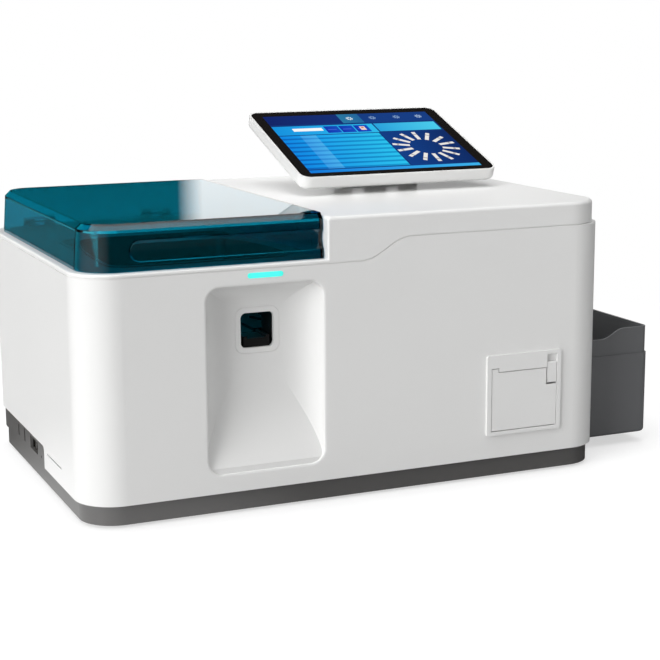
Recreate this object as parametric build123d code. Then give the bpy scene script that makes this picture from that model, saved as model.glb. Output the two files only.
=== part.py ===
"""Fluorescence immunoassay analyzer for a laboratory bench.

A dark base tray carries a white moulded housing. A tinted clear cover at the left closes the
sample bay, whose turntable takes test cards from the port in the front alcove. Used cards drop
into a long waste bin that slides out to the right. A small roll printer and a tilting touch
screen complete the instrument.

Frame: millimetres, +X to the right, +Y to the back, +Z up. The origin is the middle of the
base's underside, and the feet reach below it.
"""
import math
import os

from build123d import *

# Housing
BODY_W = 592.0
BODY_D = 400.0
BODY_R = 42.0
WALL = 3.0
LEFT = -BODY_W / 2
RIGHT = BODY_W / 2
FRONT = -BODY_D / 2
REAR = BODY_D / 2
FIT_GAP = 0.4
SLIDE_GAP = 0.2
BORE_GAP = 0.05

# Heights above the base's underside
FOOT_H = 3.0
BASE_TOP = 20.6
FLOOR_TOP = WALL
SEAM_LOW = 245.6
SEAM_HIGH = 268.0
RIM_TOP = 250.1
LID_TOP = 293.0
COVER_TOP = 296.2

# Base tray and its connector riser
BASE_INSET = 4.6
RISER_INSET = 2.2
RISER_TOP = 44.0
RISER_Y = FRONT + 165.0
RISER_END_X = LEFT + 96.0
RISER_R = 5.0

# Seam between the two housings: it rises in an S to the right of the hood's end
HOOD_X = LEFT + 0.436 * BODY_W
SEAM_X0 = HOOD_X + 36.0
SEAM_X1 = SEAM_X0 + 58.0
SEAM_BEND0 = SEAM_X0 + 24.0
SEAM_BEND1 = SEAM_X0 + 34.0
SEAM_GROOVE = 1.2
FLANGE_IN = 9.0
LIP_IN = 11.4
LIP_DROP = 6.0
RIGHT_STEP = 5.0
RIM_IN = 14.0
HOOD_R = 4.0
RIM_R = 2.2

# Alcove and card port
PORT_X = LEFT + 0.3216 * BODY_W
ALCOVE_X0 = PORT_X - 62.5
ALCOVE_X1 = PORT_X + 62.5
ALCOVE_Z0 = 40.0
ALCOVE_Z1 = 229.5
ALCOVE_R = 15.0
ALCOVE_LIP = 2.4
ALCOVE_DEPTH = 25.0
ALCOVE_SIDE = 35.0
ALCOVE_ROOF = 24.0
ALCOVE_RAMP_TOP = 127.0
PORT_Z = 179.5
PORT_SIZE = 36.0
PORT_R = 5.5
PORT_RING = 47.0
PORT_RING_R = 9.0
TUNNEL_Y = FRONT + ALCOVE_DEPTH + WALL + 2.0
TUNNEL_LENGTH = 30.0
LIGHT_W = 38.0
LIGHT_H = 5.5
LIGHT_Z = 239.5

# Turntable and what works round it
CARD_Z = 170.5
TABLE_R = 0.295 * BODY_D
TABLE_Y = TUNNEL_Y + TUNNEL_LENGTH + 2.0 + TABLE_R
TABLE_HUB_R = 0.49 * TABLE_R
TABLE_Z0 = 162.0
TABLE_Z1 = 173.5
SLOTS = 16
SLOT_W = 20.0
GEAR_MODULE = 1.5
RING_TEETH = 96
PINION_TEETH = 16
GEAR_Z0 = 154.0
PINION_ANGLE = 135.0
SPINDLE_R = 6.0
PLATE_Z0 = 139.0
PLATE_Z1 = 143.0
PLATE_X0 = PORT_X - TABLE_R - 16.0
PLATE_X1 = PORT_X + TABLE_R - 7.0
PLATE_Y0 = FRONT + 48.0
PLATE_Y1 = TABLE_Y + TABLE_R + 48.0
WELL_X0 = LEFT + 46.0
WELL_X1 = HOOD_X - 26.0
WELL_Y0 = FRONT + 40.0
WELL_Y1 = TABLE_Y + TABLE_R - 50.0
WELL_R = 18.0
SKIRT_Z = 203.0
DECK_Z0 = 247.6
DECK_Z1 = 250.0

# Reader over the turntable's rear edge
ROD_R = 3.0
ROD_Z = 211.0
ROD_SPREAD = 16.0
READER_Y0 = TABLE_Y + TABLE_R - 10.0
READER_Y1 = READER_Y0 + 36.0
READER_BLOCK_Y = PLATE_Y1 - 16.0
READER_Z0 = 183.0
READER_Z1 = 223.0

# Ejector and chute at the turntable's right edge
EJECT_Z0 = 185.0
EJECT_Z1 = 193.0
CHUTE_X0 = PORT_X + TABLE_R + 3.6
CHUTE_X1 = CHUTE_X0 + 84.0
CHUTE_HALF = 26.0

# Cover over the sample bay
COVER_WALL = 3.0
COVER_INSET = 8.5
COVER_REAR_INSET = 12.0
COVER_GAP = 0.2
COVER_DRAFT = 4.4
COVER_CHAMFER = 5.6
COVER_RIGHT = HOOD_X - 1.0
COVER_R = 36.0
GROOVE_X0 = LEFT + 66.0
GROOVE_Z = 270.8
GROOVE_R = 16.0
GROOVE_DEPTH = 3.5
HINGE_Y = REAR - 6.4
HINGE_Z = 255.6
HINGE_BARREL = 4.2
HINGE_PIN = 1.5
HINGE_XS = (LEFT + 61.0, HOOD_X - 57.0)
HINGE_W = 36.0

# Touch screen, in its own plane: across, up and out of the glass
SCREEN_W = 247.8
SCREEN_H = 182.2
SCREEN_T = 15.9
SCREEN_R = 13.0
SCREEN_TILT = 20.15
SCREEN_X = (HOOD_X + RIGHT - RIGHT_STEP - SCREEN_W) / 2 + 3.2
SCREEN_Y = FRONT + 171.4
SCREEN_Z = LID_TOP + 20.9
PIVOT_Y = SCREEN_Y + 74.0
PIVOT_Z = LID_TOP + 25.2
PIVOT_R = 5.0
PIVOT_PIN = 2.0

# Waste bin
BIN_X0 = PLATE_X1 + 3.0
BIN_X1 = RIGHT + 99.0
BIN_Y0 = FRONT + 61.0
BIN_Y1 = TABLE_Y + 36.0
BIN_Z0 = 9.0
BIN_Z1 = 135.0
BIN_LEDGE = 104.0
BIN_LOW = 123.8
BIN_RISE_X0 = RIGHT + 34.0
BIN_RISE_X1 = RIGHT + 66.0
BIN_WALL = 2.5
BIN_R = 10.0

# Printer
PRINTER_X0 = RIGHT - 151.0
PRINTER_X1 = PRINTER_X0 + 91.0
PRINTER_Z0 = 46.0
PRINTER_Z1 = 134.0
PRINTER_PROUD = 2.6
DOOR_X0 = PRINTER_X0 + 6.0
DOOR_X1 = PRINTER_X0 + 85.5
DOOR_Z0 = 51.0
DOOR_STEP_X = DOOR_X0 + 7.6
DOOR_Z_STEP = 119.0
DOOR_Z1 = 114.8
SLIT = 0.8
LEVER_X0 = DOOR_X1 - 11.0
LEVER_Z0 = 98.0
LEVER_Z1 = 121.0
POCKET_Z1 = 130.0
BAY_BACK = FRONT + 54.0
ROLL_R = 18.0
ROLL_Y = FRONT + 29.0
ROLL_Z = 77.0
ROLL_W = 57.0
PLATEN_R = 4.5
PLATEN_Y = FRONT + 9.0
PLATEN_Z = 108.0
DOOR_PIVOT_Y = FRONT + 1.4
DOOR_PIVOT_Z = 54.5
DOOR_SWEEP_R = 5.4
LEVER_Y = FRONT + 1.2

# Main board and the data connectors on it
BOARD_Z = 25.0
BOARD_X = LEFT + 13.0
BOARD_Y0 = RISER_Y - 23.0
BOARD_Y1 = PLATE_Y1 - 28.0
NETWORK_Y = RISER_Y + 47.5
SERIAL_Y = RISER_Y + 65.0
USB_PLACES = ((RISER_Y + 100.0, 15.0), (RISER_Y + 129.0, 13.0))
JACK_X = LEFT + 5.0

# Rear panel
PANEL_X0 = RISER_END_X + 10.0
PANEL_X1 = RIGHT - BODY_R - 6.0
PANEL_Z0 = BASE_TOP + 9.4
PANEL_Z1 = SEAM_LOW - 9.6
PANEL_LEDGE = 6.0
FAN_X = HOOD_X + 18.0
FAN_Z = 107.0
FAN_SIZE = 80.0
FAN_T = 25.0
FAN_R = 37.5
INLET_X = RIGHT - 91.0
INLET_Z = 59.0
SWITCH_X = INLET_X - 45.0
ROCKER_TILT = 8.0


def block(x0, x1, y0, y1, z0, z1):
    """A box between two values along each axis."""
    middle = Pos((x0 + x1) / 2, (y0 + y1) / 2, (z0 + z1) / 2)
    return middle * Box(x1 - x0, y1 - y0, z1 - z0)


def slab(x0, x1, y0, y1, z0, z1, radius):
    """A box whose upright corners are rounded."""
    sketch = Pos((x0 + x1) / 2, (y0 + y1) / 2, z0) * RectangleRounded(x1 - x0, y1 - y0, radius)
    return extrude(sketch, amount=z1 - z0)


def panel(x0, x1, z0, z1, y0, y1, radius):
    """A plate that faces the front, with its four corners rounded."""
    plane = Plane(origin=((x0 + x1) / 2, y0, (z0 + z1) / 2), x_dir=(1, 0, 0), z_dir=(0, 1, 0))
    return extrude(plane * RectangleRounded(x1 - x0, z1 - z0, radius), amount=y1 - y0)


def rod_x(x0, x1, y, z, radius):
    return Pos((x0 + x1) / 2, y, z) * Rot(0, 90, 0) * Cylinder(radius, x1 - x0)


def rod_y(x, y0, y1, z, radius):
    return Pos(x, (y0 + y1) / 2, z) * Rot(90, 0, 0) * Cylinder(radius, y1 - y0)


def rod_z(x, y, z0, z1, radius):
    return Pos(x, y, (z0 + z1) / 2) * Cylinder(radius, z1 - z0)


def outline(inset, z0, z1, right_step=0.0):
    """The housing's outline, moved inwards, as a prism. The lid steps in at the right."""
    right = RIGHT - right_step - inset
    return slab(LEFT + inset, right, FRONT + inset, REAR - inset, z0, z1, BODY_R - inset)


def ring(outer, inner, z0, z1, right_step=0.0):
    """The wall between two insets of the housing's outline."""
    return outline(outer, z0, z1, right_step) - outline(inner, z0 - 1, z1 + 1, right_step)


def above_seam(rise):
    """All space above the S-shaped seam, moved up by rise."""
    low = SEAM_LOW + rise
    high = SEAM_HIGH + rise
    curve = Bezier((SEAM_X0, low), (SEAM_BEND0, low), (SEAM_BEND1, high), (SEAM_X1, high))
    far = BODY_W
    rest = Polyline((SEAM_X1, high), (far, high), (far, far), (-far, far), (-far, low), (SEAM_X0, low))
    return extrude(make_face(Plane.XZ * (curve + rest)), amount=BODY_D, both=True)


def seam_band(rise0, rise1):
    """The layer that follows the seam between two heights from it."""
    return above_seam(rise0) - above_seam(rise1)


def riser_window(gap):
    """Space of the connector riser at the left rear, larger all round by gap."""
    y0 = RISER_Y - gap
    top = RISER_TOP + gap
    radius = RISER_R + gap
    arc = RadiusArc((y0, top - radius), (y0 + radius, top), radius)
    rest = Polyline((y0 + radius, top), (REAR + 10, top), (REAR + 10, 0), (y0, 0), (y0, top - radius))
    face = make_face(Plane.YZ * (arc + rest))
    solid = extrude(face, amount=BODY_W, both=True)
    return solid & block(LEFT - 10, RISER_END_X + gap, y0, REAR + 10, BASE_TOP - gap, top)


def connector_cuts():
    """Openings for the data connectors in the riser's left face."""
    x0 = LEFT - 5
    x1 = LEFT + 12
    cuts = block(x0, x1, NETWORK_Y - 9.5, SERIAL_Y + 8, BOARD_Z, BOARD_Z + 14)
    for y, height in USB_PLACES:
        cuts += block(x0, x1, y - 2.8, y + 2.8, BOARD_Z, BOARD_Z + height)
    cuts += rod_x(x0, x1, RISER_Y + 22, BOARD_Z + 2, 1.5)
    return cuts


def base_tray():
    """Dark tray under the housing, with the connector riser at the left rear."""
    tray = outline(BASE_INSET, 0, BASE_TOP) - outline(BASE_INSET + WALL, FLOOR_TOP, BASE_TOP + 1)
    riser = ring(RISER_INSET, BASE_INSET + WALL, BASE_TOP, RISER_TOP + 1) & riser_window(0)
    tray += riser
    tray -= connector_cuts()
    bin_gate = block(RIGHT - 20, RIGHT, BIN_Y0 - FIT_GAP * 2, BIN_Y1 + FIT_GAP * 2, BIN_Z0 - FIT_GAP, BASE_TOP + 1)
    tray -= bin_gate
    for step in range(7):
        x = LEFT + 86 + 30 * step
        tray -= block(x, x + 6, REAR - 70, REAR - 30, -1, FLOOR_TOP + 1)
    return tray


def alcove_space(grow):
    """The front recess: elliptical side walls and roof, and a long ramp at the foot."""
    depth = ALCOVE_DEPTH + grow
    side = ALCOVE_SIDE + grow
    centre0 = ALCOVE_X0 + ALCOVE_SIDE
    centre1 = ALCOVE_X1 - ALCOVE_SIDE
    low = ALCOVE_Z0 - grow
    high = ALCOVE_Z1 + grow
    plan = Pos(centre0, FRONT, low) * Ellipse(side, depth)
    plan += Pos(centre1, FRONT, low) * Ellipse(side, depth)
    plan += Pos((centre0 + centre1) / 2, FRONT, low) * Rectangle(centre1 - centre0, 2 * depth)
    from_above = extrude(plan, amount=high - low)
    from_front = panel(ALCOVE_X0 - grow, ALCOVE_X1 + grow, low, high, FRONT - depth, FRONT + depth,
                       ALCOVE_R + grow)
    roof = ALCOVE_ROOF + grow
    kappa = 0.5523
    back = FRONT + depth
    shoulder = high - roof
    ramp = Bezier((FRONT, low), (FRONT + grow + 5, low + 14), (back, low + 45), (back, ALCOVE_RAMP_TOP))
    wall = Line((back, ALCOVE_RAMP_TOP), (back, shoulder))
    ceiling = Bezier((back, shoulder), (back, shoulder + kappa * roof),
                     (FRONT + kappa * depth, high), (FRONT, high))
    close = Polyline((FRONT, high), (FRONT - depth, high), (FRONT - depth, low), (FRONT, low))
    section = make_face(Plane.YZ * (ramp + wall + ceiling + close))
    from_side = extrude(section, amount=BODY_W, both=True)
    return from_above & from_front & from_side


def alcove_mouth():
    """Space that eases the recess's rim: a steep flare, then a flat one."""
    middle = Plane(origin=((ALCOVE_X0 + ALCOVE_X1) / 2, FRONT, (ALCOVE_Z0 + ALCOVE_Z1) / 2),
                   x_dir=(1, 0, 0), z_dir=(0, 1, 0))
    width = ALCOVE_X1 - ALCOVE_X0
    height = ALCOVE_Z1 - ALCOVE_Z0
    flares = []
    for reach, depth in ((ALCOVE_LIP, 0.3 * ALCOVE_LIP), (0.3 * ALCOVE_LIP, ALCOVE_LIP)):
        rim = middle * RectangleRounded(width + 2 * reach, height + 2 * reach, ALCOVE_R + reach)
        flares.append(extrude(rim, amount=depth, taper=math.degrees(math.atan2(reach, depth))))
    return flares[0] + flares[1]


def rear_panel():
    """Plate let into the rear wall, with openings for the fan, the air, the inlet and the switch."""
    plate = panel(PANEL_X0, PANEL_X1, PANEL_Z0, PANEL_Z1, REAR - WALL, REAR, 4)
    y0 = REAR - 2 * WALL
    y1 = REAR + 1
    plate -= rod_y(FAN_X, y0, y1, FAN_Z, FAN_R)
    plate -= panel(INLET_X - 14.2, INLET_X + 14.2, INLET_Z - 11.2, INLET_Z + 11.2, y0, y1, 2)
    plate -= panel(SWITCH_X - 7.2, SWITCH_X + 7.2, INLET_Z - 11.2, INLET_Z + 11.2, y0, y1, 1)
    for step in range(9):
        x = RIGHT - 226 + 16 * step
        plate -= block(x, x + 5, y0, y1, 127, 177)
    return plate


def rear_window():
    """Opening in the rear wall for the panel, and the ledge behind it that the panel is screwed to."""
    window = block(PANEL_X0 - FIT_GAP, PANEL_X1 + FIT_GAP, REAR - WALL, REAR + 1,
                   PANEL_Z0 - FIT_GAP, PANEL_Z1 + FIT_GAP)
    y0 = REAR - 2 * WALL
    y1 = REAR - WALL
    ledge = block(PANEL_X0 - PANEL_LEDGE, PANEL_X1 + PANEL_LEDGE, y0, y1,
                  PANEL_Z0 - PANEL_LEDGE, PANEL_Z1 + PANEL_LEDGE)
    ledge -= block(PANEL_X0 + PANEL_LEDGE, PANEL_X1 - PANEL_LEDGE, y0 - 1, y1 + 1,
                   PANEL_Z0 + PANEL_LEDGE, PANEL_Z1 - PANEL_LEDGE)
    return window, ledge


def lower_housing():
    """White lower shell, with its alcove, port, printer window, bin gate and rear window."""
    shell = outline(0, BASE_TOP, SEAM_HIGH) - outline(WALL, BASE_TOP - 1, SEAM_HIGH + 1)
    shell -= above_seam(0)
    shell += ring(WALL - 1, FLANGE_IN, SEAM_LOW - 2 * WALL, SEAM_HIGH) & seam_band(-WALL, 0)
    shell += ring(WALL - 1, BASE_INSET + WALL, BASE_TOP, BASE_TOP + WALL)
    shell += alcove_space(WALL) & block(LEFT, RIGHT, FRONT, 0, BASE_TOP, SEAM_LOW)
    shell -= alcove_space(0)
    shell -= alcove_mouth()
    ring_hole = PORT_RING / 2 + FIT_GAP / 2
    shell -= panel(PORT_X - ring_hole, PORT_X + ring_hole, PORT_Z - ring_hole, PORT_Z + ring_hole,
                   FRONT + ALCOVE_DEPTH - 1, FRONT + ALCOVE_DEPTH + WALL + 1, PORT_RING_R)
    shell -= panel(PORT_X - LIGHT_W / 2, PORT_X + LIGHT_W / 2, LIGHT_Z - LIGHT_H / 2, LIGHT_Z + LIGHT_H / 2,
                   FRONT - 1, FRONT + WALL + 1, LIGHT_H / 2 - 0.01)
    shell -= panel(PRINTER_X0 + 2, PRINTER_X1 - 2, PRINTER_Z0 + 2, PRINTER_Z1 - 2, FRONT - 1, FRONT + WALL + 8, 3)
    shell -= block(RIGHT - 20, RIGHT + 1, BIN_Y0 - 2 * FIT_GAP, BIN_Y1 + 2 * FIT_GAP, BASE_TOP - 1, BIN_Z1 + 2)
    shell -= block(LEFT - 1, LEFT + WALL + 1, FRONT + 90, FRONT + 151, 38.6, 40.4)
    window, ledge = rear_window()
    shell -= window
    shell += ledge
    shell -= riser_window(FIT_GAP)
    return shell


def upper_housing():
    """White hood over the right side and the rim that the cover closes on."""
    far = BODY_W
    hood = outline(0, SEAM_LOW, LID_TOP, RIGHT_STEP) & block(HOOD_X, far, -far, far, 0, far)
    corners = hood.edges().filter_by(Axis.Z).group_by(Axis.X)[0]
    hood = fillet(corners, radius=HOOD_R / 2)
    hood = fillet(hood.faces().sort_by(Axis.Z)[-1].edges(), radius=HOOD_R)
    hood -= outline(WALL, SEAM_LOW - 1, LID_TOP - WALL, RIGHT_STEP) & block(HOOD_X + WALL, far, -far, far, 0, far)
    hood -= outline(-1, SEAM_LOW - 1, SEAM_HIGH, RIGHT_STEP) - above_seam(0)

    rim = outline(0, SEAM_LOW, RIM_TOP, RIGHT_STEP) & block(-far, HOOD_X + 1, -far, far, 0, far)
    outer = rim.faces().sort_by(Axis.Z)[-1].edges().sort_by(Axis.X)[:-1]
    rim = fillet(outer, radius=RIM_R)
    rim -= outline(RIM_IN, SEAM_LOW - 1, RIM_TOP + 1)
    rim += ring(RIM_IN - 1, RIM_IN + 4, SEAM_LOW, DECK_Z0) & block(-far, HOOD_X, -far, far, 0, far)
    rim += block(HOOD_X - 5, HOOD_X + WALL, FRONT + RIM_IN, REAR - RIM_IN, SEAM_LOW, DECK_Z0)

    housing = hood + rim
    flange = ring(WALL - 1, LIP_IN, SEAM_LOW, SEAM_HIGH + 2 * WALL, RIGHT_STEP) & seam_band(0, WALL)
    housing += flange & block(HOOD_X, far, -far, far, 0, far)
    lip = ring(FLANGE_IN + FIT_GAP, LIP_IN, SEAM_LOW - LIP_DROP, SEAM_HIGH + 2, RIGHT_STEP)
    housing += lip & seam_band(-LIP_DROP, 1)
    groove = ring(-1, 1, SEAM_LOW - 1, SEAM_HIGH + 2 * WALL, RIGHT_STEP) & seam_band(-0.1, SEAM_GROOVE)
    housing -= groove
    return housing


def sample_bay_deck():
    """Dark deck inside the rim, with the well over the turntable and its light skirt."""
    deck = outline(RIM_IN + FIT_GAP, DECK_Z0, DECK_Z1)
    deck &= block(LEFT, HOOD_X - FIT_GAP, FRONT, REAR, DECK_Z0 - 1, DECK_Z1 + 1)
    skirt = slab(WELL_X0 - 2, WELL_X1 + 2, WELL_Y0 - 2, WELL_Y1 + 2, SKIRT_Z, DECK_Z1 + 1.5, WELL_R + 2)
    deck += skirt
    deck -= slab(WELL_X0, WELL_X1, WELL_Y0, WELL_Y1, SKIRT_Z - 1, DECK_Z1 + 3, WELL_R)
    return deck


def cover_solid(inset, z0, z1, right):
    """The cover's form: upright draft on three sides, a chamfered top and a square right end."""
    x0 = LEFT + COVER_INSET + inset
    x1 = right + BODY_R * 2
    y0 = FRONT + COVER_INSET + inset
    y1 = REAR - COVER_REAR_INSET - inset
    foot = Pos((x0 + x1) / 2, (y0 + y1) / 2, z0) * RectangleRounded(x1 - x0, y1 - y0, COVER_R - inset)
    chamfer_z = z1 - COVER_CHAMFER
    wall = extrude(foot, amount=chamfer_z - z0, taper=COVER_DRAFT)
    crown = extrude(wall.faces().sort_by(Axis.Z)[-1], amount=COVER_CHAMFER, taper=45)
    whole = wall + crown
    return whole & block(LEFT, right, FRONT, REAR, z0 - 1, z1 + 1)


def top_cover():
    """Tinted clear cover with a finger groove along its front and two hinge leaves behind."""
    z0 = RIM_TOP + COVER_GAP
    draft = math.tan(math.radians(COVER_DRAFT)) * (GROOVE_Z - z0)
    groove_y = FRONT + COVER_INSET + draft + GROOVE_DEPTH - GROOVE_R
    far = COVER_RIGHT + 1
    groove = rod_x(GROOVE_X0, far, groove_y, GROOVE_Z, GROOVE_R)
    groove += Pos(GROOVE_X0, groove_y, GROOVE_Z) * Sphere(GROOVE_R)
    swell = rod_x(GROOVE_X0, far, groove_y, GROOVE_Z, GROOVE_R + COVER_WALL)
    swell += Pos(GROOVE_X0, groove_y, GROOVE_Z) * Sphere(GROOVE_R + COVER_WALL)
    cavity = cover_solid(COVER_WALL, z0, COVER_TOP - COVER_WALL, COVER_RIGHT - COVER_WALL)
    cavity -= swell
    cover = cover_solid(0, z0, COVER_TOP, COVER_RIGHT) - cavity - groove
    for x in HINGE_XS:
        leaf = block(x - HINGE_W / 6 + FIT_GAP, x + HINGE_W / 6 - FIT_GAP, HINGE_Y - 10, HINGE_Y,
                     HINGE_Z - 2, HINGE_Z + 2)
        leaf -= cover_solid(COVER_WALL - 1, z0, COVER_TOP - COVER_WALL, COVER_RIGHT - COVER_WALL)
        leaf += rod_x(x - HINGE_W / 6 + FIT_GAP, x + HINGE_W / 6 - FIT_GAP, HINGE_Y, HINGE_Z, HINGE_BARREL)
        leaf -= rod_x(x - HINGE_W, x + HINGE_W, HINGE_Y, HINGE_Z, HINGE_PIN + BORE_GAP)
        cover += leaf
    return cover


def cover_hinges():
    """Two fixed hinge brackets on the rim's rear strip, each with two knuckles."""
    brackets = []
    for x in HINGE_XS:
        for side in (-1, 1):
            inner = x + side * HINGE_W / 6
            outer = x + side * HINGE_W / 2
            x0 = min(inner, outer)
            x1 = max(inner, outer)
            knuckle = rod_x(x0, x1, HINGE_Y, HINGE_Z, HINGE_BARREL)
            knuckle += block(x0, x1, HINGE_Y - 3.2, HINGE_Y + 3.2, RIM_TOP, HINGE_Z)
            knuckle -= rod_x(x0 - 1, x1 + 1, HINGE_Y, HINGE_Z, HINGE_PIN + BORE_GAP)
            brackets.append(knuckle)
    return Compound(children=brackets)


def cover_hinge_pins():
    return Compound(children=[rod_x(x - HINGE_W / 2, x + HINGE_W / 2, HINGE_Y, HINGE_Z, HINGE_PIN)
                              for x in HINGE_XS])


def status_light():
    """Lit strip above the alcove, with the flange that holds it behind the wall."""
    lens = panel(PORT_X - LIGHT_W / 2 + 0.1, PORT_X + LIGHT_W / 2 - 0.1, LIGHT_Z - LIGHT_H / 2 + 0.1,
                 LIGHT_Z + LIGHT_H / 2 - 0.1, FRONT - 0.3, FRONT + WALL, LIGHT_H / 2 - 0.15)
    flange = panel(PORT_X - LIGHT_W / 2 - 3, PORT_X + LIGHT_W / 2 + 3, LIGHT_Z - 3.6, LIGHT_Z + 3.0,
                   FRONT + WALL, FRONT + WALL + 2, 2)
    return lens + flange


def port_frame():
    """White insert round the card port, flush with the alcove's back."""
    half = PORT_RING / 2
    y0 = FRONT + ALCOVE_DEPTH
    frame = panel(PORT_X - half, PORT_X + half, PORT_Z - half, PORT_Z + half, y0, y0 + WALL, PORT_RING_R)
    wide = half + 3
    frame += panel(PORT_X - wide, PORT_X + wide, PORT_Z - wide, PORT_Z + wide, y0 + WALL, y0 + WALL + 2, 9)
    open_half = PORT_SIZE / 2
    frame -= panel(PORT_X - open_half, PORT_X + open_half, PORT_Z - open_half, PORT_Z + open_half,
                   y0 - 1, y0 + WALL + 3, PORT_R)
    return frame


def port_tunnel():
    """Dark guide behind the port that leads a card to the turntable."""
    y0 = TUNNEL_Y
    y1 = y0 + TUNNEL_LENGTH
    half = PORT_SIZE / 2
    wall = 2.0
    tube = panel(PORT_X - half - wall, PORT_X + half + wall, PORT_Z - half - wall, PORT_Z + half + wall,
                 y0, y1, PORT_R + wall)
    tube -= panel(PORT_X - half, PORT_X + half, PORT_Z - half, PORT_Z + half, y0 - 1, y1 + 1, PORT_R)
    return tube


def card_stage():
    """Tray that travels out of the port and takes a card in."""
    z0 = PORT_Z - PORT_SIZE / 2 + SLIDE_GAP
    y0 = TUNNEL_Y - 2
    y1 = TUNNEL_Y + TUNNEL_LENGTH - 1
    stage = block(PORT_X - 14, PORT_X + 14, y0, y1, z0, CARD_Z + 2.5)
    stage -= block(PORT_X - SLOT_W / 2 - 0.3, PORT_X + SLOT_W / 2 + 0.3, y0 - 1, y1 + 1, CARD_Z, CARD_Z + 5)
    stage -= block(PORT_X - 9, PORT_X + 9, y0 + 3, y1 - 3, z0 - 1, CARD_Z - 2)
    return stage


def mechanism_plate():
    """Aluminium plate that carries the turntable, its motor and the reader."""
    plate = slab(PLATE_X0, PLATE_X1, PLATE_Y0, PLATE_Y1, PLATE_Z0, PLATE_Z1, 8)
    plate -= rod_z(PORT_X, TABLE_Y, PLATE_Z0 - 1, PLATE_Z1 + 1, 12)
    x, y = pinion_place()
    plate -= rod_z(x, y, PLATE_Z0 - 1, PLATE_Z1 + 1, 11.3)
    for x0, y0 in ((PLATE_X0 + 12, TABLE_Y - 60), (PLATE_X1 - 65, PLATE_Y0 + 12), (PLATE_X1 - 65, PLATE_Y1 - 72)):
        plate -= slab(x0, x0 + 40, y0, y0 + 60, PLATE_Z0 - 1, PLATE_Z1 + 1, 8)
    return plate


def pillar_places():
    return [(x, y) for x in (PLATE_X0 + 12, PLATE_X1 - 12) for y in (PLATE_Y0 + 10, PLATE_Y1 - 12)]


def plate_pillars():
    """Four posts from the base floor to the mechanism plate."""
    posts = []
    for x, y in pillar_places():
        post = Pos(x, y, FLOOR_TOP) * extrude(RegularPolygon(6.5, 6), amount=PLATE_Z0 - FLOOR_TOP)
        posts.append(post)
    return Compound(children=posts)


def plate_screws():
    """Cap screws that hold the plate down on its posts."""
    screws = []
    for x, y in pillar_places():
        screw = rod_z(x, y, PLATE_Z1, PLATE_Z1 + 4, 4)
        screw -= Pos(x, y, PLATE_Z1 + 2) * extrude(RegularPolygon(1.8, 6), amount=3)
        screws.append(screw)
    return Compound(children=screws)


def pinion_place():
    """Where the motor's pinion meshes with the turntable's gear."""
    distance = GEAR_MODULE * (RING_TEETH + PINION_TEETH) / 2
    angle = math.radians(PINION_ANGLE)
    return PORT_X + distance * math.cos(angle), TABLE_Y + distance * math.sin(angle)


def gear(teeth, first_angle, z0, z1):
    """A spur gear at the origin whose teeth have straight flanks and some backlash."""
    pitch_r = GEAR_MODULE * teeth / 2
    tip_r = pitch_r + 0.8 * GEAR_MODULE
    root_r = pitch_r - 1.05 * GEAR_MODULE
    pitch_half = 0.21 * math.pi * GEAR_MODULE
    slope = math.tan(math.radians(20))
    tip_half = (pitch_half - (tip_r - pitch_r) * slope) / tip_r
    root_half = (pitch_half + (pitch_r - root_r) * slope) / root_r
    points = []
    for tooth in range(teeth):
        middle = math.radians(first_angle + 360.0 * tooth / teeth)
        for radius, turn in ((root_r, -root_half), (tip_r, -tip_half), (tip_r, tip_half), (root_r, root_half)):
            points.append((radius * math.cos(middle + turn), radius * math.sin(middle + turn)))
    face = make_face(Polyline(*points, close=True))
    return Pos(0, 0, z0) * extrude(face, amount=z1 - z0)


def carousel():
    """Turntable with radial slots for test cards, open at their outer ends."""
    table = rod_z(0, 0, TABLE_Z0, TABLE_Z1, TABLE_R)
    table -= rod_z(0, 0, CARD_Z, TABLE_Z1 + 1, TABLE_HUB_R)
    for step in range(SLOTS):
        turn = Rot(0, 0, 360.0 * step / SLOTS)
        table -= turn * block(TABLE_HUB_R - 4, TABLE_R + 2, -SLOT_W / 2 - 0.3, SLOT_W / 2 + 0.3, CARD_Z, TABLE_Z1 + 1)
    table -= rod_z(0, 0, TABLE_Z0 - 1, TABLE_Z1, SPINDLE_R + BORE_GAP)
    return Pos(PORT_X, TABLE_Y, 0) * table


def carousel_gear():
    """Ring gear fixed under the turntable."""
    wheel = gear(RING_TEETH, 0, GEAR_Z0, TABLE_Z0)
    wheel -= rod_z(0, 0, GEAR_Z0 - 1, TABLE_Z0 + 1, SPINDLE_R + BORE_GAP)
    for step in range(6):
        wheel -= Rot(0, 0, 60 * step) * Pos(40, 0, GEAR_Z0 + 4) * Cylinder(15, 10)
    return Pos(PORT_X, TABLE_Y, 0) * wheel


def carousel_spindle():
    return rod_z(PORT_X, TABLE_Y, PLATE_Z0 - 1, TABLE_Z1 + 3, SPINDLE_R)


def carousel_nut():
    """Hand nut that clamps the turntable on its spindle."""
    nut = rod_z(0, 0, CARD_Z, TABLE_Z1 + 5, 15)
    for step in range(8):
        nut -= Rot(0, 0, 45 * step) * rod_z(17.5, 0, CARD_Z + 3, TABLE_Z1 + 6, 4.5)
    nut -= rod_z(0, 0, CARD_Z - 1, TABLE_Z1 + 3, SPINDLE_R + BORE_GAP)
    return Pos(PORT_X, TABLE_Y, 0) * nut


def carousel_bearing():
    """Flanged bearing that the spindle turns in."""
    top = GEAR_Z0 - 0.3
    body = rod_z(PORT_X, TABLE_Y, PLATE_Z1, PLATE_Z1 + 4, 24)
    body += rod_z(PORT_X, TABLE_Y, PLATE_Z0, top, 11.8)
    body -= rod_z(PORT_X, TABLE_Y, PLATE_Z0 - 1, top + 1, SPINDLE_R + BORE_GAP)
    return body


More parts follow.
